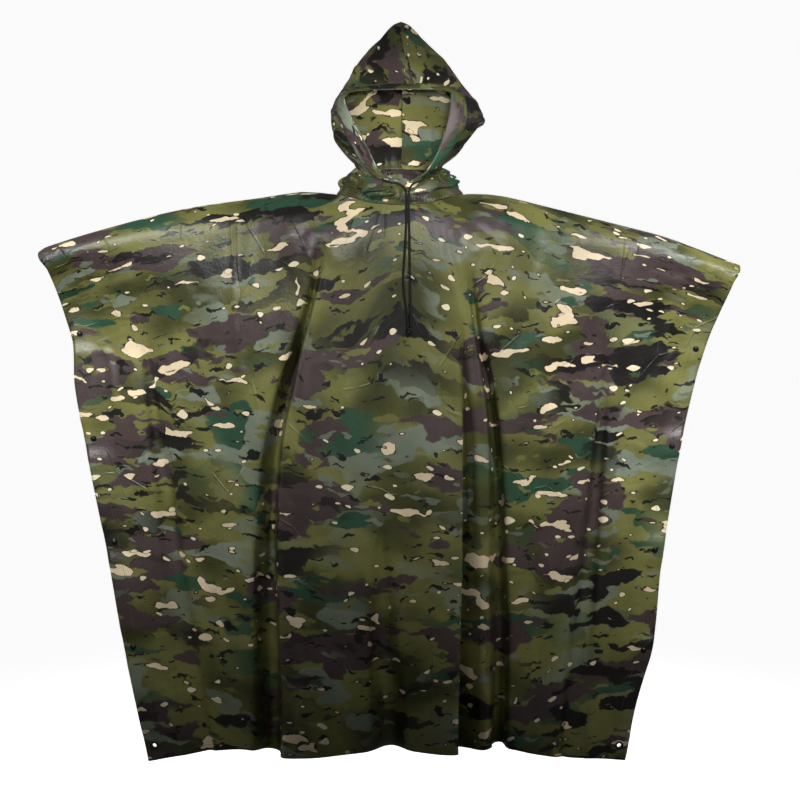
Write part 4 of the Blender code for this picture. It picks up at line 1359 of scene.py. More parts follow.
@dataclass
class NeckGather:
    """The band between body and hood: fine gathers at its seams, loose rolls between."""

    shape: NeckShape
    gathers: int = 112
    columns: int = 620
    rows: int = 60
    thickness: float = 0.9 * MM
    gather_height: float = 2.2 * MM
    roll_height: float = 13.0 * MM
    crumple_height: float = 0.7 * MM
    tight: float = 0.24     # share of the height, above the lower seam, where it lies close
    waves: float = 30.0     # random waves round the neck, which every roll and gather follows

    def surface(self) -> tuple[Array, Array, Array]:
        """The band's points, flat coordinates and outward normals."""
        shape, body = self.shape, self.shape.body
        turn = np.linspace(0.0, 1.0, self.columns + 1)[None, :]
        up = np.linspace(0.0, 1.0, self.rows)[:, None]
        angle = shape.angle(turn)
        facing = shape.halves(turn, {Facing.FRONT: -1.0, Facing.BACK: 1.0})
        sine = np.sin(angle)
        depth = shape.halves(turn, {half: body.halves[half].neck_depth for half in Facing})
        level = shape.halves(turn, {half: body.halves[half].neck_height for half in Facing})
        base = np.stack([body.neck_x - body.neck_half_width * np.cos(angle), facing * depth * sine,
                         mix(body.neck_side_height, level, sine ** 2) + shape.seam], axis=-1)
        throat = shape.throat(turn)
        outward = np.stack([-np.cos(angle), facing * sine, np.zeros_like(sine)], axis=-1)
        outward /= np.linalg.norm(outward, axis=-1, keepdims=True)
        cleft = bell((base[..., 0] - shape.cleft_x) / shape.cleft_width) * (facing < 0)
        cleft = 1.0 - shape.cleft_depth * cleft
        rolls, drift, small = Ripples(41, 96), Ripples(42, 96), Ripples(43, 96)
        ring = turn * self.waves
        tight = self.tight * (1.0 + 0.65 * drift(ring * 0.55 + 5.0, np.zeros_like(ring)))
        free = np.clip((up - tight) / (1.0 - tight), 0.0, 1.0)
        arch = np.sin(math.pi * free ** shape.puff_roundness) ** shape.puff_roundness
        lean = 1.3 * drift(ring / 3.0, up * 1.4)
        wide = rolls(ring * 0.55 + lean, up * 2.3 + 0.8 * drift(ring / 2.0 + 7.0, up * 1.5))
        puffy = rolls(ring * 0.75 + 1.6 * lean + 11.0,
                      up * 2.8 + 0.9 * drift(ring / 1.5, up + 4.0))
        puffy = np.abs(puffy) ** 0.75
        swell = shape.puff * cleft * arch
        loose = self.roll_height * cleft * arch * (0.40 * wide + 1.25 * puffy - 0.62)
        phase = math.tau * (self.gathers * turn + 1.10 * drift(ring * 0.9, up * 2.6 + 3.0))
        fade = np.maximum(bell(up / 0.36), 0.75 * bell((1.0 - up) / 0.24))
        pleats = self.gather_height * fade * np.sin(phase)
        pleats = pleats * mix(0.25, 1.0, 0.5 + 0.5 * small(ring * 1.5, up))
        crumple = self.crumple_height * small(ring * 2.6, up * 5.0) * arch
        edges = ease(up / 0.05) * ease((1.0 - up) / 0.05)
        lift = swell + (loose + pleats + crumple) * edges
        points = mix(base, throat, up[..., None]) + outward * lift[..., None]
        points[..., 2] += (1.6 * MM * wide * arch * edges)
        points[:, -1] = points[:, 0]
        cut = np.stack(np.broadcast_arrays(turn * 1.15 + 3.75, up * 0.10 - 0.39), axis=2)
        return points, cut, np.broadcast_to(outward, points.shape)

    def build(self, cloth: Material, thread: Material) -> list[Object]:
        """Makes the band and the two seams that hold it."""
        points, cut, outward = self.surface()
        band = cloth_object("neck_band", points, cut, outward, cloth, self.thickness, wrapped=True)
        normals = surface_normals(points, wrapped=True)
        normals *= np.sign(np.sum(normals * outward, axis=-1, keepdims=True))
        seams = [(points[row], normals[row]) for row in (2, -3)]
        sewing = stitches("neck_sewing", seams, thread, pitch=3.6 * MM, length=2.7 * MM)
        join_body((band, sewing))
        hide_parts("neck_gather")
        return [band, sewing]


class HoodRow(NamedTuple):
    """A level of a hood side, in millimetres: its face edge, its widest place and its nape."""

    share: float
    face: Point
    side: Point
    nape: Point


@dataclass
class HoodShape:
    """The two hood sides as smooth surfaces."""

    neck: NeckShape
    nape_turn: float = 0.743
    chin_turns: dict[Side, float] = preset({Side.LEFT: 0.265, Side.RIGHT: 0.289})
    throat_blend: float = 0.20
    peak_spread: float = 0.85
    peak_lift: float = 0.20
    peak_reach: float = 0.145
    peak_point: float = 0.006
    channel_reach: float = 0.125    # share of the way to the nape that the channel covers
    channel_start: float = 0.085
    channel_swell: float = 2.6 * MM
    cut_places: dict[Side, tuple[float, float]] = preset({Side.LEFT: (3.54, 0.67),
                                                          Side.RIGHT: (4.48, 1.47)})
    rows: dict[Side, tuple[HoodRow, ...]] = preset({
        Side.LEFT: (
            HoodRow(0.00, (5, -112, 36), (-96, 0, 78), (0, 88, 88)),
            HoodRow(0.14, (-40, -113, 52), (-108, 0, 104), (0, 99, 122)),
            HoodRow(0.30, (-66, -112, 100), (-130, -10, 135), (0, 107, 165)),
            HoodRow(0.48, (-98, -106, 160), (-134, -18, 168), (0, 108, 215)),
            HoodRow(0.62, (-112, -103, 200), (-122, -12, 208), (0, 103, 262)),
            HoodRow(0.74, (-88, -109, 210), (-104, 0, 250), (0, 92, 300)),
            HoodRow(0.87, (-40, -118, 211), (-74, 6, 294), (0, 74, 338)),
            HoodRow(1.00, (28, -122, 211), (4, -30, 303), (-2, 55, 378)),
        ),
        Side.RIGHT: (
            HoodRow(0.00, (19, -112, 36), (92, 0, 78), (0, 88, 88)),
            HoodRow(0.14, (46, -113, 52), (100, 0, 102), (0, 99, 122)),
            HoodRow(0.30, (71, -112, 98), (124, -20, 130), (0, 107, 165)),
            HoodRow(0.48, (87, -106, 150), (156, -36, 168), (0, 108, 215)),
            HoodRow(0.62, (95, -103, 200), (140, -12, 206), (0, 103, 262)),
            HoodRow(0.74, (86, -109, 210), (114, 0, 244), (0, 92, 300)),
            HoodRow(0.87, (62, -118, 211), (76, 6, 294), (0, 74, 338)),
            HoodRow(1.00, (28, -122, 211), (4, -30, 303), (-2, 55, 378)),
        ),
    })

    def table_point(self, side: Side, across: Array, share: Array) -> Array:
        """A side's own surface, which rounds out from the face edge by the side to the nape."""
        shares, *lines = zip(*self.rows[side])
        face, flank, nape = (smooth(shares, line, share) * MM for line in lines)
        across = across[..., None]
        return (face * 2.0 * (across - 0.5) * (across - 1.0) + flank * 4.0 * across * (1.0 - across)
                + nape * 2.0 * across * (across - 0.5))

    def point(self, side: Side, across: Array, share: Array) -> Array:
        """A point of a hood side: across 0 to 1 from face edge to nape, share 0 to 1 up."""
        sign = side.value
        end_turn = self.nape_turn - 1.0 if side is Side.LEFT else self.nape_turn
        throat = self.neck.throat(mix(self.chin_turns[side], end_turn, across))
        settle = throat - self.table_point(side, across, np.zeros_like(share))
        from_nape, from_crown = 1.0 - across, 1.0 - share
        away = from_nape + from_crown
        near_peak = np.sqrt(from_nape * from_crown) * np.exp(-away / self.peak_reach)
        near_peak = near_peak * away / (away + self.peak_point)
        spread = np.array([sign, 0.0, self.peak_lift]) * self.peak_spread * near_peak[..., None]
        return (self.table_point(side, across, share)
                + settle * (1.0 - ease(share / self.throat_blend))[..., None] + spread)

    def grid(self, side: Side, across: Array, shares: Array) -> tuple[Array, Array]:
        """Points and outward normals over a grid of a hood side."""
        if across.ndim == 1:
            across, shares = np.meshgrid(across, shares)
        else:
            shares = np.broadcast_to(shares[:, None], across.shape)
        points = self.point(side, across, shares)
        return points, faced(surface_normals(points), 0, side.value)


@dataclass
class HoodSide:
    """One half of the hood, from face edge to nape seam."""

    shape: HoodShape
    side: Side
    creases: tuple[Crease, ...]
    seed: int
    columns: int = 132
    rows: int = 124
    thickness: float = 0.9 * MM
    seam_inset: float = 5.5 * MM
    waves_height: float = 2.0 * MM
    crinkle_height: float = 1.0 * MM
    gather_height: float = 0.7 * MM
    seam_height: float = 0.7 * MM
    tuck_rows: float = 3.0      # lowest rows, tucked in and down behind the neck band
    points: Array = blank(0, 0, 3)
    normals: Array = blank(0, 0, 3)

    def surface(self) -> Array:
        """Works out the side's points and normals, and returns its flat coordinates."""
        across, shares = np.linspace(0.0, 1.0, self.columns), np.linspace(0.0, 1.0, self.rows)
        points, normals = self.shape.grid(self.side, across, shares)
        a, b = np.meshgrid(across, shares)
        ripples, fine = Ripples(self.seed), Ripples(self.seed + 1)
        lift = crease_field(self.creases, a, b)
        waves = ripples(a * 5.0 + 0.8 * ripples(a * 2, b * 2), b * 2.6) * mix(1.0, 0.45, b)
        crinkle = fine.ridges(a * 8.0, b * 6.0 + 2.0 * ripples(a * 3, b * 3)) - 0.3
        gathers = np.sin(math.tau * (24.0 * a + 0.8 * ripples(a * 9.0, b * 3.0)))
        lift += self.waves_height * waves + self.crinkle_height * crinkle
        lift += self.gather_height * gathers * bell(b / 0.07)
        under_channel = ease((a - self.shape.channel_reach) / 0.04)
        edges = ease(b / 0.03) * ease((1.0 - b) / 0.05) * ease((1.0 - a) / 0.05)
        lift *= under_channel * edges
        run = np.linalg.norm(np.diff(points, axis=1), axis=2)[:, ::-1]
        from_nape = np.hstack([np.cumsum(run, axis=1)[:, ::-1], np.zeros((self.rows, 1))])
        rise = np.linalg.norm(np.diff(points, axis=0), axis=2)
        from_crown = np.vstack([np.cumsum(rise[::-1], axis=0)[::-1], np.zeros((1, self.columns))])
        seam = np.minimum(from_nape, from_crown)
        lift += self.seam_height * ease((7 * MM - seam) / (2 * MM)) * ease(seam / (1.5 * MM))
        tucked = ease((self.tuck_rows - np.arange(self.rows)) / self.tuck_rows)[:, None]
        lift -= 1.6 * MM * tucked
        points = points + normals * lift[..., None]
        points[..., 2] -= 3.0 * MM * tucked
        self.points = points
        self.normals = faced(surface_normals(points), 0, self.side.value)
        upward = np.append(0.0, np.cumsum(rise.mean(axis=1)))[:, None]
        across, up = self.shape.cut_places[self.side]
        flat = np.broadcast_arrays(self.side.value * from_nape + across, upward + up)
        return np.stack(flat, axis=2)

    def sewing(self) -> list[tuple[Array, Array]]:
        """Topstitching beside the crown and nape seams."""
        column = self.columns - 1 - max(1, round(self.seam_inset / 0.0022 / 1.4))
        row = self.rows - 1 - max(1, round(self.seam_inset / 0.0030))
        return [(self.points[4:row, column], self.normals[4:row, column]),
                (self.points[row, 6:column], self.normals[row, 6:column])]

    def build(self, cloth: Material, thread: Material) -> list[Object]:
        """Makes the side and its topstitching."""
        cut = self.surface()
        name = f"hood_{self.side.name.lower()}"
        shell = cloth_object(f"{name}_cloth", self.points, cut, self.normals, cloth, self.thickness)
        sewing = stitches(f"{name}_sewing", self.sewing(), thread)
        join_body((shell, sewing))
        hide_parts(name)
        return [shell, sewing]


@dataclass
class FaceChannel:
    """The drawcord channel round the face opening, puckered on its cord."""

    shape: HoodShape
    steps: int = 13
    rows_a_side: int = 150
    thickness: float = 0.9 * MM
    stand: float = 1.1 * MM
    brow_share: float = 0.55    # its width at the brow over that beside the face
    pucker: float = 0.8 * MM

    def build(self, cloth: Material, thread: Material) -> list[Object]:
        """Makes the channel and the stitches that close it."""
        shape = self.shape
        share = np.linspace(0.0, 1.0, self.steps)
        heights = np.linspace(shape.channel_start, 1.0, self.rows_a_side)
        reach = shape.channel_reach * mix(1.0, self.brow_share, ease((heights - 0.62) / 0.25))
        across = share[None, :] * reach[:, None]
        left, left_normals = shape.grid(Side.LEFT, across, heights)
        right, right_normals = shape.grid(Side.RIGHT, across, heights)
        brow = left_normals[-1:] + right_normals[-1:]
        brow /= np.linalg.norm(brow, axis=-1, keepdims=True)
        points = np.concatenate([left[:-1], left[-1:], right[-2::-1]])
        normals = np.concatenate([left_normals[:-1], brow, right_normals[-2::-1]])
        run = lengths_along(points[:, self.steps // 2])
        ripples = Ripples(77, 128)
        puckers = ripples(run[:, None] / 0.0062 + 0.8 * share[None, :], share[None, :] * 1.6)
        arch = np.sin(math.pi * share)[None, :]
        ends = ease(run / 0.012) * ease((run[-1] - run) / 0.012)
        lift = shape.channel_swell * arch + self.pucker * puckers * arch * ends[:, None]
        lift += self.stand
        points = points + normals * lift[..., None]
        width = np.linalg.norm(np.diff(points, axis=1), axis=2).sum(axis=1).mean()
        cut = np.broadcast_arrays(run[:, None] + 3.79, share[None, :] * width - 0.85)
        cut = np.stack(cut, axis=2)
        strip = cloth_object("face_channel_cloth", points, cut, normals, cloth, self.thickness)
        line = (slice(2, -2), self.steps - 2)
        sewing = stitches("face_channel_sewing", [(points[line], normals[line])], thread)
        join_body((strip, sewing))
        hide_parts("face_channel")
        return [strip, sewing]


# Trim -------------------------------------------------------------------------------------
@dataclass
class Drawcord:
    """The two hanging ends of the hood's cord and the knot that joins them."""

    radius: float = 2.0 * MM
    step: float = 1.1 * MM
    sides: int = 12
    strands: int = 3
    lay: float = 7.0 * MM
    strand_height: float = 0.16 * MM
    knot_centre: Point = (0.0140, -0.1552, -0.2575)
    knot_size: Point = (0.0110, 0.0090, 0.0150)
    knot_steps: int = 90
    routes: dict[Side, tuple[Point, ...]] = preset({
        Side.LEFT: (
            (-0.0398, -0.0993, 0.0419), (-0.0335, -0.1010, 0.0368), (-0.0265, -0.1042, 0.0342),
            (-0.0180, -0.1075, 0.0325), (-0.0090, -0.1090, 0.0306), (-0.0010, -0.1092, 0.0272),
            (0.0050, -0.1090, 0.0212), (0.0075, -0.1113, 0.0130), (0.0080, -0.1163, 0.0020),
            (0.0080, -0.1238, -0.0080), (0.0080, -0.1311, -0.0200), (0.0080, -0.1375, -0.0360),
            (0.0075, -0.1430, -0.0560), (0.0065, -0.1470, -0.0800), (0.0050, -0.1502, -0.1060),
            (0.0030, -0.1522, -0.1320), (0.0022, -0.1530, -0.1600), (0.0042, -0.1533, -0.1900),
            (0.0085, -0.1536, -0.2160), (0.0110, -0.1540, -0.2360), (0.0115, -0.1544, -0.2503),
        ),
        Side.RIGHT: (
            (0.0451, -0.0934, 0.0455), (0.0395, -0.0975, 0.0395), (0.0335, -0.1020, 0.0358),
            (0.0275, -0.1060, 0.0332), (0.0208, -0.1085, 0.0293), (0.0156, -0.1092, 0.0222),
            (0.0135, -0.1112, 0.0130), (0.0132, -0.1162, 0.0020), (0.0130, -0.1238, -0.0080),
            (0.0130, -0.1311, -0.0200), (0.0132, -0.1375, -0.0360), (0.0136, -0.1430, -0.0560),
            (0.0140, -0.1470, -0.0800), (0.0143, -0.1502, -0.1060), (0.0145, -0.1522, -0.1320),
            (0.0148, -0.1530, -0.1600), (0.0154, -0.1533, -0.1900), (0.0162, -0.1536, -0.2160),
            (0.0165, -0.1540, -0.2360), (0.0165, -0.1544, -0.2503),
        ),
    })

    def braid(self, at: float, angle: float) -> float:
        """The braid's radius at a distance run and an angle."""
        along, round_cord = 1.5 * math.tau * at / self.lay, self.strands * angle
        crossing = math.cos(round_cord + along) * math.cos(round_cord - along)
        return self.radius + self.strand_height * crossing

    def build(self, braid: Material) -> list[Object]:
        """Makes both cords and their knot."""
        middle, size = Vector(self.knot_centre), Vector(self.knot_size)
        reach = [length / 2 - self.radius for length in size]
        turns = np.linspace(0.0, math.tau, self.knot_steps, endpoint=False)
        trefoil = np.stack([(np.sin(turns) + 2 * np.sin(2 * turns)) / 2.6, -np.sin(3 * turns),
                            (np.cos(turns) - 2 * np.cos(2 * turns)) / 2.9], axis=1)
        knot_line = np.array(middle) + np.array(reach) * trefoil
        knot_line = np.concatenate([knot_line, knot_line[:1]])
        knot = tube("drawcord_knot_braid", knot_line, self.braid, self.sides, braid, closed=True)
        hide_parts("drawcord_knot")
        made = [knot]
        for side, route in self.routes.items():
            places = np.array(route)
            stations = lengths_along(places)
            count = math.ceil(stations[-1] / self.step)
            line = smooth(stations, places, np.linspace(0.0, stations[-1], count + 1))
            name = f"drawcord_{side.name.lower()}"
            cord = tube(f"{name}_braid", line, self.braid, self.sides, braid)
            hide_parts(name)
            made.append(cord)
        join_body(made)
        return made


@dataclass
class Fasteners:
    """The snaps of both side edges and the eyelets at the hem corners."""

    shape: BodyShape
    fit: float = 0.3 * MM
    post_radius: float = 1.8 * MM
    cap_radius: float = 6.0 * MM
    cap_height: float = 2.6 * MM
    disc_radius: float = 4.6 * MM
    bore_radius: float = 4.5 * MM
    barrel_radius: float = 5.3 * MM
    flange_radius: float = 8.5 * MM
    flange: float = 1.2 * MM
    turns: int = 40

    def snap_profile(self) -> list[tuple[float, float]]:
        """A snap's section from the middle of one cap to the middle of the other."""
        face = self.shape.edge_gap + self.shape.wall + self.fit
        disc = self.shape.edge_gap - self.fit
        radius, height = self.cap_radius, self.cap_height
        half = [(self.disc_radius, disc), (self.post_radius, disc), (self.post_radius, face),
                (radius * 0.95, face), (radius, face + height * 0.10),
                (radius, face + height * 0.28),
                (radius * 0.96, face + height * 0.40), (radius * 0.86, face + height * 0.46),
                (radius * 0.80, face + height * 0.42), (radius * 0.74, face + height * 0.50),
                (radius * 0.62, face + height * 0.74), (radius * 0.44, face + height * 0.91),
                (radius * 0.24, face + height * 0.98), (0.0, face + height)]
        return [(r, -offset) for r, offset in reversed(half)] + half

    def eyelet_profile(self, facing: Facing) -> list[tuple[float, float]]:
        """An eyelet's section: a rolled flange on each face and a barrel through the cloth."""
        inner = self.shape.edge_gap + self.shape.corner_gape
        low, high = inner - self.fit, inner + self.shape.wall + self.fit
        bore, flange, thick = self.bore_radius, self.flange_radius, self.flange
        rim = [(self.barrel_radius, 0.0), (flange * 0.97, 0.0), (flange, 0.25),
               (flange * 0.96, 0.55), (mix(flange, bore, 0.35), 0.92),
               (mix(flange, bore, 0.62), 1.0), (mix(flange, bore, 0.86), 0.75), (bore, 0.20)]
        outer = [(radius, high + thick * share) for radius, share in rim]
        inside = [(radius, low - thick * share) for radius, share in reversed(rim)]
        return [(radius, facing.value * offset) for radius, offset in outer + inside]

    def build(self, snap: Material, eyelet: Material) -> list[Object]:
        """Makes every snap and eyelet where the cloth's edges hold it."""
        made = []
        for side in Side:
            for number, height in enumerate(self.shape.snap_heights[side], 1):
                x = self.shape.fastener_x(side, height)
                name = f"snap_{side.name.lower()}_{number}"
                cap = turned(f"{name}_cap", self.snap_profile(), Vector((x, 0.0, height)),
                             self.turns, snap)
                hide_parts(name)
                join_body([cap])
                made.append(cap)
            level = self.shape.eyelet_height
            x = self.shape.fastener_x(side, level)
            for facing in Facing:
                name = f"eyelet_{facing.name.lower()}_{side.name.lower()}"
                ring = turned(f"{name}_ring", self.eyelet_profile(facing), Vector((x, 0.0, level)),
                              self.turns, eyelet, ring=True)
                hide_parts(name)
                join_body([ring])
                made.append(ring)
        return made


# Studio -----------------------------------------------------------------------------------
@dataclass(frozen=True)
class Lamp:
    """A soft rectangular light that looks at a point."""

    name: str
    place: Point
    target: Point
    size: tuple[float, float]
    watts: float
    spread: float = 180.0   # degrees; less keeps the light to a band
    sheen: bool = True      # whether the cloth mirrors it


@dataclass(frozen=True)
class Studio:
    """Camera, pale surroundings and soft lights."""

    camera_place: Point = (-0.004, -3.8, -0.390)
    lens: float = 85.5
    sensor: float = 36.0
    floor_level: float = -1.62
    wall_radius: float = 11.0
    wall_height: float = 12.0
    wall_curve: float = 3.0     # radius of the bend from floor to wall
    wall_steps: tuple[int, int] = (14, 72)  # points of that bend, and steps round
    daylight: float = 0.07
    flag_place: Point = (0.0, -1.85, -0.02)
    flag_size: tuple[float, float] = (4.4, 1.60)
    lamps: tuple[Lamp, ...] = (
        Lamp("key_left", (-1.35, -3.2, 1.95), (-0.92, 0.0, -0.46), (0.8, 0.5), 12.2, 34.0),
        Lamp("key_right", (1.35, -3.2, 1.95), (0.88, 0.0, -0.46), (0.8, 0.5), 14.0, 34.0),
        Lamp("hood_light", (0.05, -1.75, 0.00), (0.0, 0.0, 0.14), (0.25, 0.12), 0.40, 14.0),
        Lamp("top_light", (0.2, 1.5, 2.3), (0.0, 0.1, -0.3), (1.8, 0.6), 4.0, 70.0, sheen=False),
        Lamp("back_light", (0.5, 2.8, 1.4), (0.0, 0.0, -0.35), (2.2, 0.8), 13.0, 50.0, sheen=False),
        Lamp("left_light", (-2.8, 0.2, 0.5), (0.0, 0.0, -0.4), (1.4, 1.4), 2.4, 60.0),
        Lamp("right_light", (2.8, 0.2, 0.5), (0.0, 0.0, -0.4), (1.4, 1.4), 2.4, 60.0),
    )

    def build(self) -> None:
        """Sets up everything round the garment."""
        scene = bpy.context.scene
        camera = bpy.data.objects.new("camera", bpy.data.cameras.new("camera"))
        camera.data.lens = self.lens
        camera.data.sensor_width = self.sensor
        camera.location = self.camera_place
        camera.rotation_euler = (math.pi / 2, 0.0, 0.0)
        scene.collection.objects.link(camera)
        scene.camera = camera

        world = bpy.data.worlds.new("daylight")
        world.use_nodes = True
        ground = world.node_tree.nodes["Background"]
        ground.inputs["Color"].default_value = (1.0, 1.0, 1.0, 1.0)
        ground.inputs["Strength"].default_value = self.daylight
        scene.world = world
        scene.view_settings.view_transform = "Standard"
        scene.view_settings.look = "None"

        for lamp in self.lamps:
            light = bpy.data.lights.new(lamp.name, "AREA")
            light.shape = "RECTANGLE"
            light.size, light.size_y = lamp.size
            light.energy = lamp.watts
            light.spread = math.radians(lamp.spread)
            holder = bpy.data.objects.new(lamp.name, light)
            holder.location = lamp.place
            holder.visible_camera = False
            holder.visible_glossy = lamp.sheen
            way = Vector(lamp.target) - Vector(lamp.place)
            holder.rotation_euler = way.to_track_quat("-Z", "Y").to_euler()
            scene.collection.objects.link(holder)
        self.sweep()
        self.flag()

    def sweep(self) -> None:
        """A round pale floor that curves up into a wall on every side, far from the garment.

        It shows its own even glow and takes no part in lighting the cloth.
        """
        curve, top = self.wall_curve, self.wall_height
        bend_steps, round_steps = self.wall_steps
        profile = [(0.0, self.floor_level)]
        profile += [(self.wall_radius - curve * (1 - math.sin(angle)),
                     self.floor_level + curve * (1 - math.cos(angle)))
                    for angle in np.linspace(0.0, math.pi / 2, bend_steps)]
        profile += [(self.wall_radius, top), (0.0, top)]
        builder = bmesh.new()
        corners = [builder.verts.new((x, 0.0, z)) for x, z in profile]
        edges = [builder.edges.new(pair) for pair in zip(corners, corners[1:])]
        bmesh.ops.spin(builder, geom=corners + edges, cent=(0, 0, 0), axis=(0, 0, 1),
                       angle=math.tau, steps=round_steps, use_merge=True)
        bmesh.ops.remove_doubles(builder, verts=builder.verts, dist=MM)
        bmesh.ops.recalc_face_normals(builder, faces=builder.faces)
        room = add_object("sweep", builder, [Pale().build()])
        room.visible_diffuse = room.visible_glossy = room.visible_shadow = False

    def flag(self) -> None:
        """A dark card out of view that shades the lower cloth softly from the key lights."""
        width, height = self.flag_size
        middle = Vector(self.flag_place)
        builder = bmesh.new()
        bmesh.ops.create_grid(builder, x_segments=1, y_segments=1, size=0.5)
        for vertex in builder.verts:
            vertex.co = middle + Vector((vertex.co.x * width, 0.0, vertex.co.y * height))
        card = add_object("flag", builder, [Pale("flag_card", (0.02, 0.02, 0.02), 0.0).build()])
        card.visible_camera = card.visible_glossy = False


# Creases -----------------------------------------------------------------------------------
# In millimetres of X and Z on the body; in shares of the way to the nape and of the height on
# the hood, with depths in metres.
FRONT_CREASES = (
    Crease(((-150, -130), (-193, -429), (-216, -700), (-214, -960)), 16, 4.5, 0.5),
    Crease(((-141, -116), (-162, -166), (-189, -274), (-203, -429)), 12, 3.5, 0.4),
    Crease(((102, -139), (123, -293), (150, -459), (143, -776)), 11, 3.2, -0.4),
    Crease(((-155, -83), (-166, -124), (-178, -166)), 7, -4.5),
    Crease(((-58, -757), (-50, -853), (-45, -969)), 12, -6),
    Crease(((166, -832), (168, -900), (164, -959)), 6, -9),
    Crease(((-110, -699), (-124, -853), (-128, -1046)), 13, -3.6),
    Crease(((35, -544), (25, -776), (37, -1037)), 17, 3, 0.3),
    Crease(((-284, -660), (-270, -853), (-259, -1066)), 14, -5, 0.3),
    Crease(((-197, -776), (-187, -930), (-205, -1069)), 9, 3.6),
    Crease(((305, -351), (318, -544), (305, -776)), 18, -3),
    Crease(((390, -255), (407, -487), (386, -853)), 14, 3, 0.5),
    Crease(((249, -622), (268, -815), (257, -1056)), 14, -4.2),
    Crease(((353, -776), (365, -930), (359, -1066)), 10, 3),
    Crease(((-467, -448), (-456, -660), (-438, -853)), 10, -3, 0.5),
    Crease(((-326, -25), (-330, -197), (-313, -380)), 7, 2.2, 0.8),
    Crease(((-508, -469), (-494, -544), (-475, -616)), 9, 2.6),
    Crease(((-380, -699), (-365, -892), (-373, -1066)), 12, -3.6),
    Crease(((502, -100), (500, -178), (502, -255)), 6, 2, 0.6),
    Crease(((-544, -197), (-523, -351), (-531, -525)), 12, 2.6),
    Crease(((-581, -255), (-571, -322), (-558, -390)), 9, -2.6),
    Crease(((-419, -120), (-388, -274), (-400, -448)), 14, -2, 0.4),
    Crease(((199, -62), (230, -197), (237, -351)), 14, 2.6),
    Crease(((75, -54), (96, -124), (116, -197)), 8, -2.2, 0.3),
    Crease(((-58, -58), (-77, -124), (-97, -236)), 8, -2.2, -0.3),
    Crease(((-21, -73), (-27, -197), (-31, -313)), 9, 1.7),
    Crease(((-139, -35), (-197, -66), (-259, -124)), 9, -2.6, 0.4),
    Crease(((123, -33), (189, -81), (268, -124)), 9, -2.6, -0.4),
    Crease(((131, -16), (228, -45), (343, -73)), 8, 2),
    Crease(((-149, -16), (-236, -33), (-332, -46)), 8, 2),
    Crease(((643, -153), (575, -197), (521, -255)), 9, 3, 0.4),
    Crease(((629, -126), (556, -139), (479, -124)), 8, -2.5),
    Crease(((604, -201), (560, -255), (552, -351)), 8, -3, 0.5),
    Crease(((575, -276), (538, -313), (521, -390)), 7, 2.5),
    Crease(((-656, -131), (-593, -151), (-525, -135)), 8, -2.5),
    Crease(((-625, -197), (-573, -218), (-506, -197)), 9, 2),
    Crease(((-618, -259), (-583, -313), (-575, -429)), 8, 2.3, 0.4),
    Crease(((160, -666), (135, -710), (100, -745)), 6, 2.2),
    Crease(((-313, -295), (-317, -351), (-328, -409)), 6, 2),
    Crease(((-205, -272), (-218, -336), (-239, -400)), 6, 2.2),
    Crease(((-243, -923), (-263, -981), (-274, -1031)), 6, 2.4),
)
FRONT_CRUMPLES = (
    Crumple(585, -250, 90, 150, 4.6),
    Crumple(-620, -250, 80, 140, 3.4),
    Crumple(470, -560, 80, 160, 3.4),
    Crumple(-300, -620, 110, 90, 3.4),
    Crumple(-380, -330, 90, 120, 2.8),
    Crumple(330, -300, 80, 110, 2.8),
    Crumple(-165, -90, 60, 45, 3.2),
    Crumple(150, -90, 60, 45, 3.2),
    Crumple(60, -620, 70, 150, 2.2),
)
BACK_CREASES = (
    Crease(((-130, -130), (-160, -400), (-150, -800)), 16, 4, 0.5),
    Crease(((150, -150), (170, -450), (180, -900)), 15, 4, -0.5),
    Crease(((-60, -60), (-70, -170), (-90, -300)), 9, -2.6),
    Crease(((50, -60), (62, -160), (94, -280)), 9, -2.6, 0.3),
    Crease(((0, -100), (4, -260), (-6, -430)), 12, 2.2),
    Crease(((-135, -40), (-200, -80), (-270, -140)), 9, -2.8, 0.4),
    Crease(((130, -40), (205, -75), (290, -120)), 9, -2.8, -0.4),
    Crease(((-150, -18), (-240, -36), (-350, -60)), 8, 2.2),
    Crease(((140, -18), (230, -40), (330, -68)), 8, 2.2),
    Crease(((-110, -500), (-104, -680), (-118, -900)), 15, 3.2, 0.4),
    Crease(((30, -520), (44, -720), (36, -1030)), 16, -4.6),
    Crease(((-290, -420), (-300, -640), (-284, -900)), 14, -4, 0.3),
    Crease(((-270, -780), (-256, -920), (-262, -1060)), 10, 3.4),
    Crease(((300, -300), (322, -520), (300, -760)), 16, -3.4),
    Crease(((285, -720), (300, -880), (292, -1050)), 11, 3.4),
    Crease(((160, -820), (152, -930), (158, -1050)), 9, -4),
    Crease(((-390, -140), (-380, -310), (-410, -500)), 12, 2.6, 0.6),
    Crease(((-470, -480), (-450, -640), (-440, -860)), 10, -3),
    Crease(((420, -160), (436, -320), (424, -480)), 12, 2.6, -0.6),
    Crease(((470, -500), (452, -660), (440, -860)), 10, -2.8),
    Crease(((640, -150), (570, -180), (500, -250)), 9, 3, 0.4),
    Crease(((610, -210), (560, -270), (540, -380)), 8, -3, 0.5),
    Crease(((-680, -140), (-600, -170), (-520, -160)), 8, -2.8),
    Crease(((-640, -220), (-590, -300), (-570, -420)), 9, 2.8, 0.4),
    Crease(((-200, -260), (-222, -330), (-246, -410)), 6, 2.2),
    Crease(((120, -640), (146, -690), (180, -720)), 6, 2.2),
)
BACK_CRUMPLES = (
    Crumple(560, -260, 90, 150, 4),
    Crumple(-600, -300, 80, 150, 3.6),
    Crumple(-450, -640, 80, 140, 3),
    Crumple(200, -620, 110, 90, 3),
    Crumple(-160, -110, 70, 60, 3),
    Crumple(330, -330, 80, 100, 2.6),
)
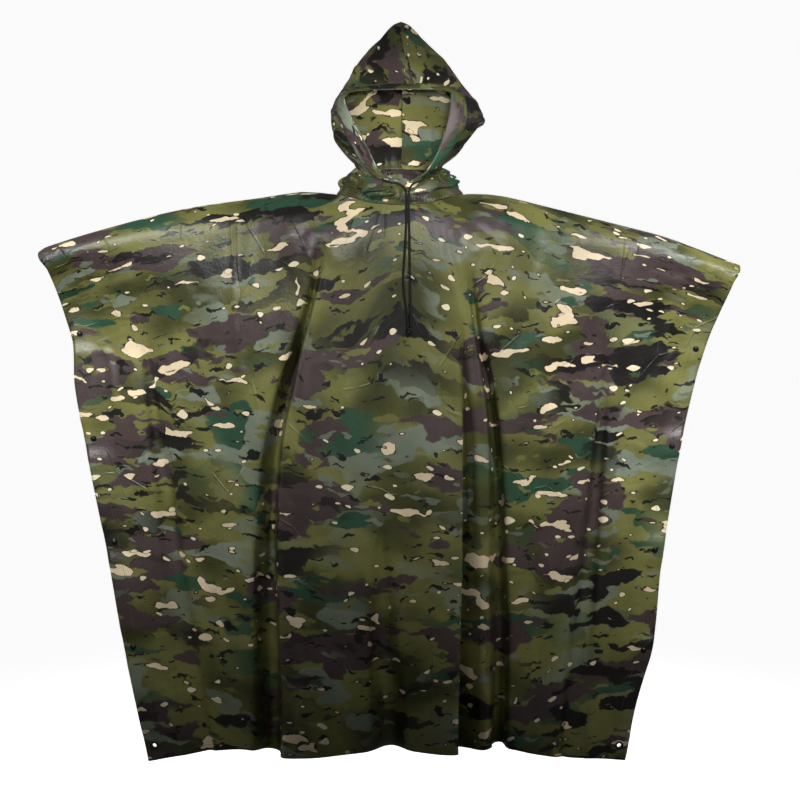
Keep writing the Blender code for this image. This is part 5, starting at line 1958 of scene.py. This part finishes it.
HOOD_CREASES = {
    Side.LEFT: (
        Crease(((0.30, 0.02), (0.36, 0.20), (0.50, 0.38)), 0.030, 3.2 * MM, 0.5),
        Crease(((0.62, 0.02), (0.60, 0.25), (0.70, 0.45)), 0.028, -3.2 * MM),
        Crease(((0.17, 0.30), (0.30, 0.36), (0.46, 0.34)), 0.018, -2.4 * MM, 0.4),
        Crease(((0.20, 0.52), (0.34, 0.56), (0.52, 0.54)), 0.020, 2.2 * MM),
        Crease(((0.22, 0.70), (0.36, 0.62), (0.50, 0.64)), 0.018, -1.8 * MM),
        Crease(((0.45, 0.08), (0.50, 0.18), (0.58, 0.28)), 0.016, 2.2 * MM),
        Crease(((0.78, 0.06), (0.80, 0.22), (0.88, 0.36)), 0.022, 2.4 * MM, 0.5),
        Crease(((0.60, 0.60), (0.70, 0.70), (0.84, 0.74)), 0.020, -2.0 * MM),
        Crease(((0.24, 0.88), (0.40, 0.82), (0.58, 0.80)), 0.016, 1.6 * MM),
        Crease(((0.20, 0.12), (0.26, 0.22), (0.30, 0.34)), 0.014, -2.0 * MM),
    ),
    Side.RIGHT: (
        Crease(((0.28, 0.02), (0.35, 0.22), (0.46, 0.36)), 0.030, 3.2 * MM, 0.5),
        Crease(((0.64, 0.02), (0.60, 0.22), (0.66, 0.42)), 0.028, -3.2 * MM),
        Crease(((0.54, 0.50), (0.38, 0.47), (0.20, 0.42)), 0.016, 4.0 * MM, 0.5),
        Crease(((0.50, 0.44), (0.36, 0.40), (0.22, 0.35)), 0.018, -5.0 * MM),
        Crease(((0.56, 0.52), (0.42, 0.60), (0.24, 0.66)), 0.018, 2.4 * MM),
        Crease(((0.52, 0.53), (0.46, 0.66), (0.44, 0.80)), 0.016, -2.0 * MM),
        Crease(((0.24, 0.10), (0.30, 0.22), (0.42, 0.30)), 0.016, -2.2 * MM),
        Crease(((0.78, 0.06), (0.82, 0.22), (0.86, 0.40)), 0.022, 2.4 * MM, -0.5),
        Crease(((0.62, 0.58), (0.74, 0.66), (0.86, 0.66)), 0.020, 2.0 * MM),
        Crease(((0.22, 0.84), (0.38, 0.80), (0.56, 0.84)), 0.016, -1.6 * MM),
    ),
}


def report(name: str, things: Sequence[Object]) -> None:
    """Logs what a sub-assembly is made of."""
    for thing in things:
        log.info("%s: %s, %d faces", name, thing.name, len(thing.data.polygons))


def main() -> None:
    """Builds the studio and every piece of the poncho around the frame."""
    logging.basicConfig(level=logging.INFO, format="%(name)s %(message)s")
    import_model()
    cloth, thread = CamouflageCloth().build(), Thread().build()
    braid = BraidedCord().build()
    snap = PaintedMetal("black_snap", (0.012, 0.012, 0.013), roughness=0.28, wear=0.06).build()
    eyelet = PaintedMetal("black_eyelet", (0.016, 0.016, 0.017), roughness=0.34, wear=0.16).build()

    Studio().build()
    report("drawcord", Drawcord().build(braid))
    body = BodyShape()
    for panel in (BodyPanel(body, Facing.FRONT, FRONT_CREASES, FRONT_CRUMPLES, 11),
                  BodyPanel(body, Facing.BACK, BACK_CREASES, BACK_CRUMPLES, 23)):
        report(panel.name, panel.build(cloth, thread))
    neck = NeckShape(body)
    report("neck", NeckGather(neck).build(cloth, thread))
    hood = HoodShape(neck)
    for side in Side:
        shell = HoodSide(hood, side, HOOD_CREASES[side], 50 + side.value)
        report("hood", shell.build(cloth, thread))
    report("face channel", FaceChannel(hood).build(cloth, thread))
    report("fasteners", Fasteners(body).build(snap, eyelet))


if __name__ == "__main__":
    main()
